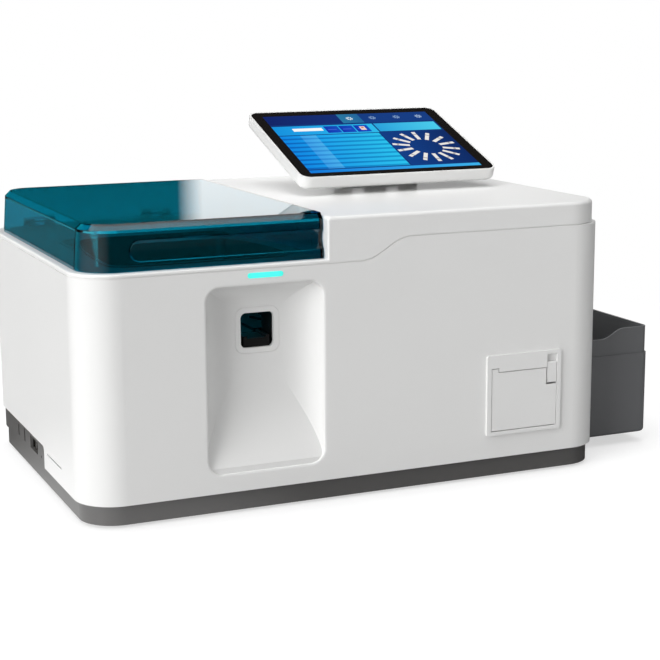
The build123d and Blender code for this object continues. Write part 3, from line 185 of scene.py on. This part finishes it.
# %% Moulded pieces
white_abs = moulded("white_abs_spark_grain", "#E6E6E5", 0.34, grain=0.6, depth=0.012, drift=0.012)
dark_abs = moulded("dark_grey_abs_base", "#5C5B5A", 0.38, grain=0.7, depth=0.03, specular=0.9)
bin_abs = moulded("charcoal_abs_bin", "#6A6B6D", 0.46, grain=0.8, depth=0.05)
black_abs = moulded("black_abs", "#121314", 0.45, grain=0.8, depth=0.05)
grey_abs = moulded("grey_acetal", "#8A8D8F", 0.4)
gear_acetal = moulded("natural_acetal_gear", "#DAD8CC", 0.36)
rubber = moulded("nitrile_rubber", "#17181A", 0.75, grain=1.2, depth=0.1)
dress(white_abs, "lower_housing", "rear_panel", "upper_housing", "port_frame", "printer_frame",
      "printer_door", "printer_lever", "screen_shell", "screen_stand")
dress(dark_abs, "base_tray")
dress(bin_abs, "waste_bin")
dress(black_abs, "sample_bay_deck", "port_tunnel", "card_stage", "carousel", "fan_frame", "fan_rotor",
      "power_inlet", "switch_body", "power_switch")
dress(grey_abs, "carousel_nut", "card_ejector", "bin_runners", "roll_spool")
dress(gear_acetal, "carousel_gear")
dress(rubber, "rubber_feet", "platen_roller")
made = (white_abs, dark_abs, bin_abs, black_abs, grey_abs, gear_acetal, rubber)
print("moulded finishes", *(material.name for material in made))

# %% [markdown]
# Metals
#
# The frame inside is bent steel and milled aluminium, the shafts are ground steel. A metal's colour
# is its reflection, so its base colour is light and its roughness carries the look. Brushing could be
# the shader's anisotropy, but that wants a direction along each surface, for which a CAD mesh has no
# map. So it is a noise stretched ten to twenty-five times along one axis, which spreads the highlights
# across it.

# %% Metal finish
BRUSH_MM = 0.625


def metal(name, code, rough, stretch=(1, 1, 1), depth=0.01):
    """Metal: noise stretched along the brushing, in millimetres, moves the roughness and the normal."""
    material, tree, out = blank(name)
    shrink = add(tree, "VectorMath", {0: millimetres(tree), 1: stretch}, operation="MULTIPLY")
    lines = add(tree, "TexNoise", {"Vector": shrink.outputs[0], "Scale": 1 / BRUSH_MM, "Detail": 3.0})
    gloss = add(tree, "MapRange", {
        "Value": lines.outputs["Fac"], "To Min": rough * 0.75, "To Max": rough * 1.25})
    bump = add(tree, "Bump", {"Height": lines.outputs["Fac"], "Strength": 0.2, "Distance": depth / 1000})
    shader = add(tree, "BsdfPrincipled", {
        "Base Color": linear(code), "Metallic": 1.0, "Roughness": gloss.outputs["Result"],
        "Normal": bump.outputs["Normal"]})
    tree.links.new(shader.outputs[0], out.inputs[0])
    return material


# %% Metal pieces
ground_steel = metal("ground_steel", "#B9BABC", 0.28)
zinc_sheet = metal("zinc_plated_sheet", "#B4B7BA", 0.38, stretch=(0.05, 1, 1))
milled_aluminium = metal("milled_aluminium", "#D2D4D6", 0.34, stretch=(0.04, 1, 1))
turned_brass = metal("turned_brass", "#C9A45C", 0.3, stretch=(1, 1, 0.1))
plated_shell = metal("nickel_plated_shell", "#C6C4BE", 0.22)
black_anodised = metal("black_anodised_aluminium", "#2B2C2E", 0.42)
dress(ground_steel, "cover_hinges", "cover_hinge_pins", "plate_pillars", "plate_screws",
      "carousel_spindle", "carousel_bearing", "reader_rods", "ejector_rail", "door_pin", "lever_pin",
      "screen_pin", "switch_pin", "fan_guard", "rear_screws")
dress(zinc_sheet, "waste_chute", "power_supply")
dress(milled_aluminium, "mechanism_plate", "reader_block", "print_head", "screen_panel")
dress(turned_brass, "drive_pinion")
dress(plated_shell, "network_port", "serial_port", "usb_ports")
dress(black_anodised, "reader_head", "drive_motor")
made = (ground_steel, zinc_sheet, milled_aluminium, turned_brass, plated_shell, black_anodised)
print("metal finishes", *(material.name for material in made))

# %% [markdown]
# Circuit boards and paper
#
# A board is glass-fibre laminate under a green solder mask, whose copper tracks show as slightly
# lighter lines in right angles. The tracks could be cut in the mesh, but copper is only a few
# hundredths of a millimetre thick, so a pattern in the colour is enough. Thermal paper is coated,
# nearly white and matt. Its coat has a fine grain and faint waves too, so the moulded finish serves
# for it, with a high roughness.

# %% Board and paper
TRACK_MM = 2.5


def board_finish():
    """Solder mask: the edges of bricks a track's length long and half as high stand for the tracks.

    A brick of this texture is half a unit long and a quarter high.
    """
    material, tree, out = blank("green_solder_mask")
    tracks = add(tree, "TexBrick", {
        "Vector": millimetres(tree), "Color1": linear("#0F5A33"), "Color2": linear("#0D4F2E"),
        "Mortar": linear("#2E8355"), "Scale": 0.5 / TRACK_MM, "Mortar Size": 0.03})
    shader = add(tree, "BsdfPrincipled", {"Base Color": tracks.outputs["Color"], "Roughness": 0.3})
    tree.links.new(shader.outputs[0], out.inputs[0])
    return material


dress(board_finish(), "main_board", "screen_board")
dress(moulded("thermal_paper", "#EFEFEA", 0.8, grain=0.4, depth=0.02), "paper_roll")
print("a track every", TRACK_MM / 2, "mm")

# %% [markdown]
# The tinted cover
#
# The cover is vacuum-formed acrylic, tinted through, and polished. It could be one refracting solid,
# but then no lamp would reach the bay below. So camera rays see a polished tinted solid, which mirrors
# the room and bends what is behind, and shadow rays pass through a tinted transparent one.

# %% Tinted acrylic
FORMING_WAVE_MM, FORMING_DEPTH_MM = 1000 / 12, 0.4


def tinted_acrylic():
    """Clear tinted acrylic: refraction for the eye, plain tinted passage for light and shadow.

    Forming leaves twelve shallow waves in a metre of sheet, which bend what the cover mirrors.
    """
    material, tree, out = blank("teal_tinted_acrylic")
    wave = add(tree, "TexNoise", {"Vector": millimetres(tree), "Scale": 1 / FORMING_WAVE_MM, "Detail": 1.0})
    bump = add(tree, "Bump", {
        "Height": wave.outputs["Fac"], "Strength": 0.1, "Distance": FORMING_DEPTH_MM / 1000})
    sheet = add(tree, "BsdfPrincipled", {
        "Base Color": linear("#1AAABF"), "Roughness": 0.02, "IOR": 1.49, "Transmission Weight": 1.0,
        "Specular IOR Level": 0.3, "Normal": bump.outputs["Normal"]})
    passage = add(tree, "BsdfTransparent", {"Color": linear("#4FA9BC")})
    path = add(tree, "LightPath")
    light = add(tree, "Math", {
        0: path.outputs["Is Shadow Ray"], 1: path.outputs["Is Diffuse Ray"]}, operation="MAXIMUM")
    mix = add(tree, "MixShader", {"Fac": light.outputs[0], 1: sheet.outputs[0], 2: passage.outputs[0]})
    tree.links.new(mix.outputs[0], out.inputs[0])
    return material


dress(tinted_acrylic(), "top_cover")

# %% [markdown]
# The light bar and the lens
#
# The bar over the port is a diffuser lit from behind by a small lamp, so it glows evenly and a little
# less at its ends. A lamp could stand behind it here too, but a surface that glows by itself looks the
# same and renders with less noise. The reader's lens is clear glass.

# %% Light bar and lens
LENS_TINT_MM = 10.0


def lit_bar():
    """A glowing diffuser: emission falls to 0.8 over the outer 0.4 of each half of the bar."""
    material, tree, out = blank("lit_diffuser")
    low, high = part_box("status_light")
    place = add(tree, "SeparateXYZ", {0: add(tree, "TexCoord").outputs["Object"]})
    middle, half = (low[0] + high[0]) / 2, (high[0] - low[0]) / 2
    off = add(tree, "Math", {0: place.outputs["X"], 1: middle}, operation="SUBTRACT")
    end = add(tree, "Math", {0: off.outputs[0]}, operation="ABSOLUTE")
    fall = add(tree, "MapRange", {
        "Value": end.outputs[0], "From Min": half * 0.6, "From Max": half, "To Min": 1.0, "To Max": 0.8})
    shader = add(tree, "BsdfPrincipled", {
        "Base Color": linear("#1C5A58"), "Roughness": 0.3, "Emission Color": linear("#50FFF0"),
        "Emission Strength": fall.outputs["Result"]})
    tree.links.new(shader.outputs[0], out.inputs[0])
    return material


def clear_glass():
    """Clear optical glass with a faint coating tint."""
    material, tree, out = blank("coated_lens_glass")
    tint = add(tree, "TexNoise", {"Vector": millimetres(tree), "Scale": 1 / LENS_TINT_MM})
    tone = add(tree, "Mix", {
        "Factor": tint.outputs["Fac"], 6: linear("#DCE8F8"), 7: linear("#F2F6FF")}, data_type="RGBA")
    shader = add(tree, "BsdfPrincipled", {
        "Base Color": tone.outputs[2], "Roughness": 0.02, "IOR": 1.52, "Transmission Weight": 1.0})
    tree.links.new(shader.outputs[0], out.inputs[0])
    return material


dress(lit_bar(), "status_light")
dress(clear_glass(), "reader_lens")

# %% [markdown]
# The touch screen's glass
#
# The front glass is black-printed round the edge and clear over the display. It could be a clear sheet
# over a printed one, but behind polished glass the print looks deep black, so a near-black base with a
# nearly smooth surface gives it in one piece.

# %% Screen glass
SMEAR_MM = 100 / 3


def touch_glass():
    """Polished black glass, with faint smears of touch in its gloss, three to 100 mm."""
    material, tree, out = blank("black_printed_glass")
    smear = add(tree, "TexNoise", {"Vector": millimetres(tree), "Scale": 1 / SMEAR_MM, "Detail": 4.0})
    gloss = add(tree, "MapRange", {"Value": smear.outputs["Fac"], "To Min": 0.03, "To Max": 0.09})
    shader = add(tree, "BsdfPrincipled", {
        "Base Color": linear("#1A1817"), "Roughness": gloss.outputs["Result"], "IOR": 1.52,
        "Specular IOR Level": 0.3})
    tree.links.new(shader.outputs[0], out.inputs[0])
    return material


dress(touch_glass(), "screen_glass")

# %% [markdown]
# The picture on the display
#
# The display shows a plain control page: tabs, a striped list and a dial of slots. It could be an
# image file, but flat coloured tiles keep it sharp at any size. Each tile is a rectangle in the
# screen's own plane, a few hundredths of a millimetre above the one below, and its colour is a colour
# attribute on its corners. The plane is read from the glass, and the edges of the page from the
# display panel behind it. Other sizes are in millimetres from the lower left corner of the screen.


# %% The screen's plane
def rows_of(items, kind, width):
    """One property of all the vertices or faces of a mesh, as an array with a row for each."""
    values = np.empty(len(items) * width)
    items.foreach_get(kind, values)
    return values.reshape(-1, width)


def screen_plane():
    """The corner and the axes of the screen's own plane.

    Out is the mean of the glass's upward normals, weighted by area. Across is X, and up the screen is
    (0, out z, -out y). The corner is the shell's least place across and up, on the face of the glass.
    """
    glass, shell = nodes["screen_glass"].data, nodes["screen_shell"].data
    normals, areas = rows_of(glass.polygons, "normal", 3), rows_of(glass.polygons, "area", 1)
    out = (normals * areas)[normals[:, 2] > 0.5].sum(axis=0)
    out /= np.linalg.norm(out)
    axes = np.array([[1, 0, 0], [0, out[2], -out[1]], out])
    least = (rows_of(shell.vertices, "co", 3) @ axes.T).min(axis=0)
    face = (rows_of(glass.vertices, "co", 3) @ axes.T).max(axis=0)
    return np.array([least[0], least[1], face[2]]) @ axes, axes


SCREEN_CORNER, SCREEN_AXES = screen_plane()
print("screen corner", SCREEN_CORNER.round(5), "tilt", math.degrees(math.asin(SCREEN_AXES[1, 2])))

# %% Tiles and bars
tile_corners, tile_colours = [], []


def tile(u0, u1, v0, v1, lift, left, right=None):
    """A rectangle of the page, in millimetres across, up and out of the glass.

    Its colour is blended from left to right.
    """
    left, right = linear(left), linear(right or left)
    tile_corners.append([(u0, v0, lift), (u1, v0, lift), (u1, v1, lift), (u0, v1, lift)])
    tile_colours.append([left, right, right, left])


def bars_round(centre, inner, outer, width, angles, lift, code):
    """Bars that point at a centre: a corner is centre + r (cos a, sin a) +- w / 2 (-sin a, cos a)."""
    c, s = np.cos(angles)[:, None], np.sin(angles)[:, None]
    r = np.array([[inner, outer, outer, inner]])
    w = np.array([[-1, -1, 1, 1]]) * width / 2
    u = centre[0] + r * c - w * s
    v = centre[1] + r * s + w * c
    tile_corners.extend(np.stack([u, v, np.full_like(u, lift)], axis=2).tolist())
    tile_colours.extend([[linear(code)] * 4] * len(angles))


# %% Layout of the page
# Places are in millimetres and angles in radians. A rectangle is its left, right, foot and top.
RIM = 3.0
panel = (rows_of(nodes["screen_panel"].data.vertices, "co", 3) - SCREEN_CORNER) @ SCREEN_AXES.T * 1000
PAGE_LEFT, PAGE_FOOT = (panel.min(axis=0)[:2] + RIM).tolist()
PAGE_RIGHT, PAGE_TOP = (panel.max(axis=0)[:2] - RIM).tolist()
TAB_LEFT, TAB_RIGHT, TAB_FOOT = 110, 138, 142
HEAD_FOOT, HEAD_TOP, MIDLINE = 113, 138, 145
FIELD, BANNER = (38.5, 76.4, 123, 131), (147, 229, 115, 138)
BADGE, BADGE_MARK = (125, 132, 121, 131), (127, 130, 126, 129)
KEY_LEFTS, KEY_WIDTH, KEY_FOOT, KEY_TOP = (80, 99.3, 118.8), 17.8, 116, 135
LINE_INSET, LINE_LENGTH, LINE_FOOT, LINE_TOP = 3, 11, 124, 126.5
ROWS, ROW, SHADE, LIST_TOP, LIST_RIGHT = 8, 11.3, 6.8, 111, 143
COLUMN_LEFT, COLUMN_RIGHT = 41, 61
DIAL_FOOT, DIAL_TOP, STRIP_TOP = 20, 112, 18.5
DIAL, SLOTS, FIRST_SLOT_ANGLE = (186, 68), 14, 0.2
TAB_MARKS = ((123, "#DCECF6"), (153.5, "#86A6D0"), (186, "#86A6D0"), (216, "#A8C2E0"))
MARK_HEIGHT, MARK_BARS = 155, 8
print("page in mm", *(round(v, 2) for v in (PAGE_LEFT, PAGE_RIGHT, PAGE_FOOT, PAGE_TOP)))

# %% The control page
tile(PAGE_LEFT, PAGE_RIGHT, PAGE_FOOT, PAGE_TOP, 0.02, "#143A7C")
tile(PAGE_LEFT, TAB_LEFT, TAB_FOOT, PAGE_TOP, 0.04, "#12256A", "#153078")
tile(TAB_LEFT, TAB_RIGHT, TAB_FOOT, PAGE_TOP, 0.04, "#2A7CA8", "#2468A0")
tile(TAB_RIGHT, PAGE_RIGHT, TAB_FOOT, PAGE_TOP, 0.04, "#163E86")
tile(PAGE_LEFT, MIDLINE, HEAD_FOOT, HEAD_TOP, 0.04, "#1496E6", "#2FC0F2")
tile(*FIELD, 0.06, "#FFFFFF")
for key in KEY_LEFTS:
    line = key + LINE_INSET
    tile(key, key + KEY_WIDTH, KEY_FOOT, KEY_TOP, 0.06, "#1136B4", "#1650C4")
    tile(line, line + LINE_LENGTH, LINE_FOOT, LINE_TOP, 0.08, "#3C62D8")
tile(*BADGE, 0.10, "#F4DCD4")
tile(*BADGE_MARK, 0.12, "#D8604C")
tile(*BANNER, 0.04, "#2AA6E2", "#4CD2F2")
tile(MIDLINE, PAGE_RIGHT, DIAL_FOOT, DIAL_TOP, 0.04, "#12408A", "#0F2C68")
tile(PAGE_LEFT, PAGE_RIGHT, PAGE_FOOT, STRIP_TOP, 0.05, "#0F7CE0", "#3FB8F4")
for row in range(ROWS):
    top = LIST_TOP - row * ROW
    foot = top - ROW
    tile(PAGE_LEFT, LIST_RIGHT, foot, top, 0.05, "#0C8CEC", "#2CC8F4")
    tile(PAGE_LEFT, LIST_RIGHT, foot, top - SHADE, 0.06, "#0B68C4", "#189CD4")
    tile(COLUMN_LEFT, COLUMN_RIGHT, foot, top, 0.07, "#3FA6F0", "#4BB6F2")
    tile(COLUMN_LEFT, COLUMN_RIGHT, foot, top - SHADE, 0.08, "#2F8CDC", "#3A9CE2")
slot_angles = np.arange(SLOTS) * 2 * math.pi / SLOTS + FIRST_SLOT_ANGLE
bars_round(DIAL, inner=20, outer=41, width=4.8, angles=slot_angles, lift=0.08, code="#F4F1EC")
bars_round(DIAL, inner=33, outer=36, width=5.2, angles=slot_angles, lift=0.10, code="#B8B4B4")
mark_angles = np.arange(MARK_BARS) * 2 * math.pi / MARK_BARS
for middle, code in TAB_MARKS:
    bars_round((middle, MARK_HEIGHT), inner=1.6, outer=4.6, width=1.6, angles=mark_angles, lift=0.08,
               code=code)

# %% The page's mesh
corners = np.array(tile_corners)
points = SCREEN_CORNER + corners.reshape(-1, 3) / 1000 @ SCREEN_AXES
squares = np.arange(len(points)).reshape(-1, 4)
picture_mesh = bpy.data.meshes.new("display_picture")
picture_mesh.from_pydata(points.tolist(), [], squares.tolist())
paint = picture_mesh.color_attributes.new("paint", "FLOAT_COLOR", "CORNER")
paint.data.foreach_set("color", np.array(tile_colours).ravel())
picture = bpy.data.objects.new("display_picture", picture_mesh)
bpy.context.collection.objects.link(picture)
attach(picture, "screen")
print("display tiles", len(corners))

# %% [markdown]
# The light of the display
#
# A real display is lit from behind, so its picture shines and keeps its colours in the shade. Paint
# under a lamp could give the colours, but it would dim as the screen tilts. So each tile gives off its
# own colour, and a smooth dark base under it keeps the reflections of polished glass.

# %% Lit display
UNEVEN_MM = 50.0


def lit_display():
    """The tiles glow in their own colour behind polished glass; slow noise is the lamp's unevenness."""
    material, tree, out = blank("lit_display")
    paint = add(tree, "VertexColor", layer_name="paint")
    uneven = add(tree, "TexNoise", {"Vector": millimetres(tree), "Scale": 1 / UNEVEN_MM})
    tone = add(tree, "MapRange", {"Value": uneven.outputs["Fac"], "To Min": 0.92, "To Max": 1.05})
    shade = add(tree, "Mix", {"Factor": 1.0, 6: paint.outputs["Color"], 7: tone.outputs["Result"]},
                data_type="RGBA", blend_type="MULTIPLY")
    shader = add(tree, "BsdfPrincipled", {
        "Base Color": linear("#050608"), "Roughness": 0.06, "IOR": 1.52, "Specular IOR Level": 0.3,
        "Emission Color": shade.outputs[2], "Emission Strength": 0.95})
    tree.links.new(shader.outputs[0], out.inputs[0])
    return material


dress(lit_display(), "display_picture")
print("the display's finish", picture.data.materials[0].name)

# %% [markdown]
# The floor
#
# The studio is plain: a pale floor that keeps the object's shadow, under a white world. A curved
# backdrop could do it, but it would show its back from the other side. So the floor is flat and wide,
# and from 0.4 m to 1.1 m from the middle it turns into pure white. Only rays that reach the eye,
# straight or through the cover, see that white. A mirror sees a dark floor instead, with a soft glow
# on the side of the left lamp.

# %% Floor
FLOOR_Z, FLOOR_HALF = cad_box[0][2], 30
SIDE_LAMP = Vector((-0.93, -0.37, 0.24)).normalized()
floor_mesh = bpy.data.meshes.new("floor")
floor_corners = [(x * FLOOR_HALF, y * FLOOR_HALF, FLOOR_Z) for x, y in ((-1, -1), (1, -1), (1, 1), (-1, 1))]
floor_mesh.from_pydata(floor_corners, [], [(0, 1, 2, 3)])
floor = bpy.data.objects.new("floor", floor_mesh)
bpy.context.collection.objects.link(floor)
print("floor at", round(FLOOR_Z, 4))

# %% Floor finish
NEAR_RING, FAR_RING, LIFT_STRENGTH = 0.4, 1.1, 0.58
GLOW_START, GLOW_STRENGTH = 0.55, 0.9


def floor_finish():
    """Pale paper floor: lifted to white for the eye, and dark with a soft glow in a mirror.

    The lift grows from the near ring to the far ring. The glow grows as a point's direction from the
    middle comes near the side lamp's.
    """
    material, tree, out = blank("pale_paper_floor")
    place = add(tree, "TexCoord").outputs["Object"]
    seen = add(tree, "LightPath")
    paper = add(tree, "BsdfDiffuse", {"Color": linear("#B4B4B4")})

    away = add(tree, "VectorMath", {0: place}, operation="LENGTH")
    far = add(tree, "MapRange", {
        "Value": away.outputs["Value"], "From Min": NEAR_RING, "From Max": FAR_RING,
        "To Min": 0.0, "To Max": 1.0})
    lift = add(tree, "Emission", {"Color": (1, 1, 1, 1), "Strength": LIFT_STRENGTH})
    near = add(tree, "AddShader", {0: paper.outputs[0], 1: lift.outputs[0]})
    white = add(tree, "Emission", {"Color": (1, 1, 1, 1), "Strength": 1.0})
    ground = add(tree, "MixShader", {"Fac": far.outputs["Result"], 1: near.outputs[0], 2: white.outputs[0]})

    heading = add(tree, "VectorMath", {0: place}, operation="NORMALIZE")
    aim = add(tree, "VectorMath", {0: heading.outputs[0], 1: SIDE_LAMP}, operation="DOT_PRODUCT")
    glow = add(tree, "MapRange", {
        "Value": aim.outputs["Value"], "From Min": GLOW_START, "From Max": 0.95,
        "To Min": 0.0, "To Max": GLOW_STRENGTH})
    dark = add(tree, "BsdfDiffuse", {"Color": linear("#3C3C3C")})
    sheen = add(tree, "Emission", {"Color": (1, 1, 1, 1), "Strength": glow.outputs["Result"]})
    mirrored = add(tree, "AddShader", {0: dark.outputs[0], 1: sheen.outputs[0]})

    bounce = add(tree, "MixShader", {
        "Fac": seen.outputs["Is Glossy Ray"], 1: paper.outputs[0], 2: mirrored.outputs[0]})
    eye = add(tree, "Math", {
        0: seen.outputs["Is Camera Ray"], 1: seen.outputs["Is Transmission Ray"]}, operation="MAXIMUM")
    both = add(tree, "MixShader", {"Fac": eye.outputs[0], 1: bounce.outputs[0], 2: ground.outputs[0]})
    tree.links.new(both.outputs[0], out.inputs[0])
    return material


dress(floor_finish(), "floor")
print("the floor is white beyond", FAR_RING, "m")

# %% [markdown]
# The world
#
# A polished cover shows the room more than itself. The room could be built from cards, but they would
# light the object too and stand in the other views. So the world answers each kind of ray by itself:
# white for the eye, an even soft light for surfaces, and for mirrors black nearly all round, so that
# the cover looks deep, with a broad soft glow on the side of the left lamp and a white card far
# behind, which turns the right half of the cover's top pale.

# %% What a mirror sees in the world
CARD_STRENGTH = 1.4
world = bpy.data.worlds.new("studio")
scene.world = world
world.use_nodes = True
tree = world.node_tree
tree.nodes.clear()
towards = add(tree, "TexCoord").outputs["Generated"]
way = add(tree, "SeparateXYZ", {0: towards})
turn = add(tree, "Math", {0: way.outputs["X"], 1: way.outputs["Y"]}, operation="ARCTAN2")
# Each step takes the card from one share of its strength to another between two limits. It begins at
# an azimuth of 19 degrees, weakens past 24, ends before 95, and reaches up to a slope of 0.35.
steps = [
    (turn.outputs[0], math.radians(18.1), math.radians(19.0), 0.0, 1.0),
    (turn.outputs[0], math.radians(24), math.radians(34), 1.0, 0.3),
    (turn.outputs[0], math.radians(75), math.radians(95), 1.0, 0.0),
    (way.outputs["Z"], 0.2, 0.35, 1.0, 0.0)]
card = add(tree, "Value")
card.outputs[0].default_value = CARD_STRENGTH
for value, start, end, before, after in steps:
    part = add(tree, "MapRange", {
        "Value": value, "From Min": start, "From Max": end, "To Min": before, "To Max": after})
    card = add(tree, "Math", {0: card.outputs[0], 1: part.outputs["Result"]}, operation="MULTIPLY")
aim = add(tree, "VectorMath", {0: towards, 1: SIDE_LAMP}, operation="DOT_PRODUCT")
glow = add(tree, "MapRange", {
    "Value": aim.outputs["Value"], "From Min": GLOW_START, "From Max": 0.97,
    "To Min": 0.0, "To Max": GLOW_STRENGTH})
level_of = add(tree, "Math", {0: card.outputs[0], 1: glow.outputs["Result"]}, operation="ADD")
print("card and glow strengths", CARD_STRENGTH, GLOW_STRENGTH)

# %% World
ROOM_STRENGTH = 0.42
seen = add(tree, "LightPath")
soft = add(tree, "Background", {"Color": (1, 1, 1, 1), "Strength": ROOM_STRENGTH})
mirrored = add(tree, "Background", {"Color": (1, 1, 1, 1), "Strength": level_of.outputs[0]})
white = add(tree, "Background", {"Color": (1, 1, 1, 1), "Strength": 1.0})
eye = add(tree, "Math", {
    0: seen.outputs["Is Camera Ray"], 1: seen.outputs["Is Transmission Ray"]}, operation="MAXIMUM")
glossy = add(tree, "MixShader", {
    "Fac": seen.outputs["Is Glossy Ray"], 1: soft.outputs[0], 2: mirrored.outputs[0]})
shown = add(tree, "MixShader", {"Fac": eye.outputs[0], 1: glossy.outputs[0], 2: white.outputs[0]})
tree.links.new(shown.outputs[0], add(tree, "OutputWorld").inputs[0])
print("world nodes", len(tree.nodes))

# %% [markdown]
# The lamps
#
# One soft lamp stands on the left, where the housing is brightest, and one above. They could be panels
# close by, as in a studio, but a panel's light falls off along the housing and a sun's doesn't. They
# stay at a level at which a colour renders about as it is written.


# %% Lamps
def sun(name, towards, brightness, spread):
    """A far soft lamp that shines from a direction; a brightness of 1 lights white paper to 1."""
    lamp = bpy.data.objects.new(name, bpy.data.lights.new(name, "SUN"))
    bpy.context.collection.objects.link(lamp)
    lamp.data.energy = brightness * math.pi
    lamp.data.angle = math.radians(spread)
    lamp.rotation_mode = "QUATERNION"
    lamp.rotation_quaternion = Vector(towards).to_track_quat("Z", "Y")
    return lamp


# The glow already stands for the side lamp in a mirror, so the lamp itself isn't mirrored.
sun("side_softbox", SIDE_LAMP, brightness=0.83, spread=40).visible_glossy = False
sun("top_softbox", (-0.1, 0.05, 1.0), brightness=0.60, spread=60)
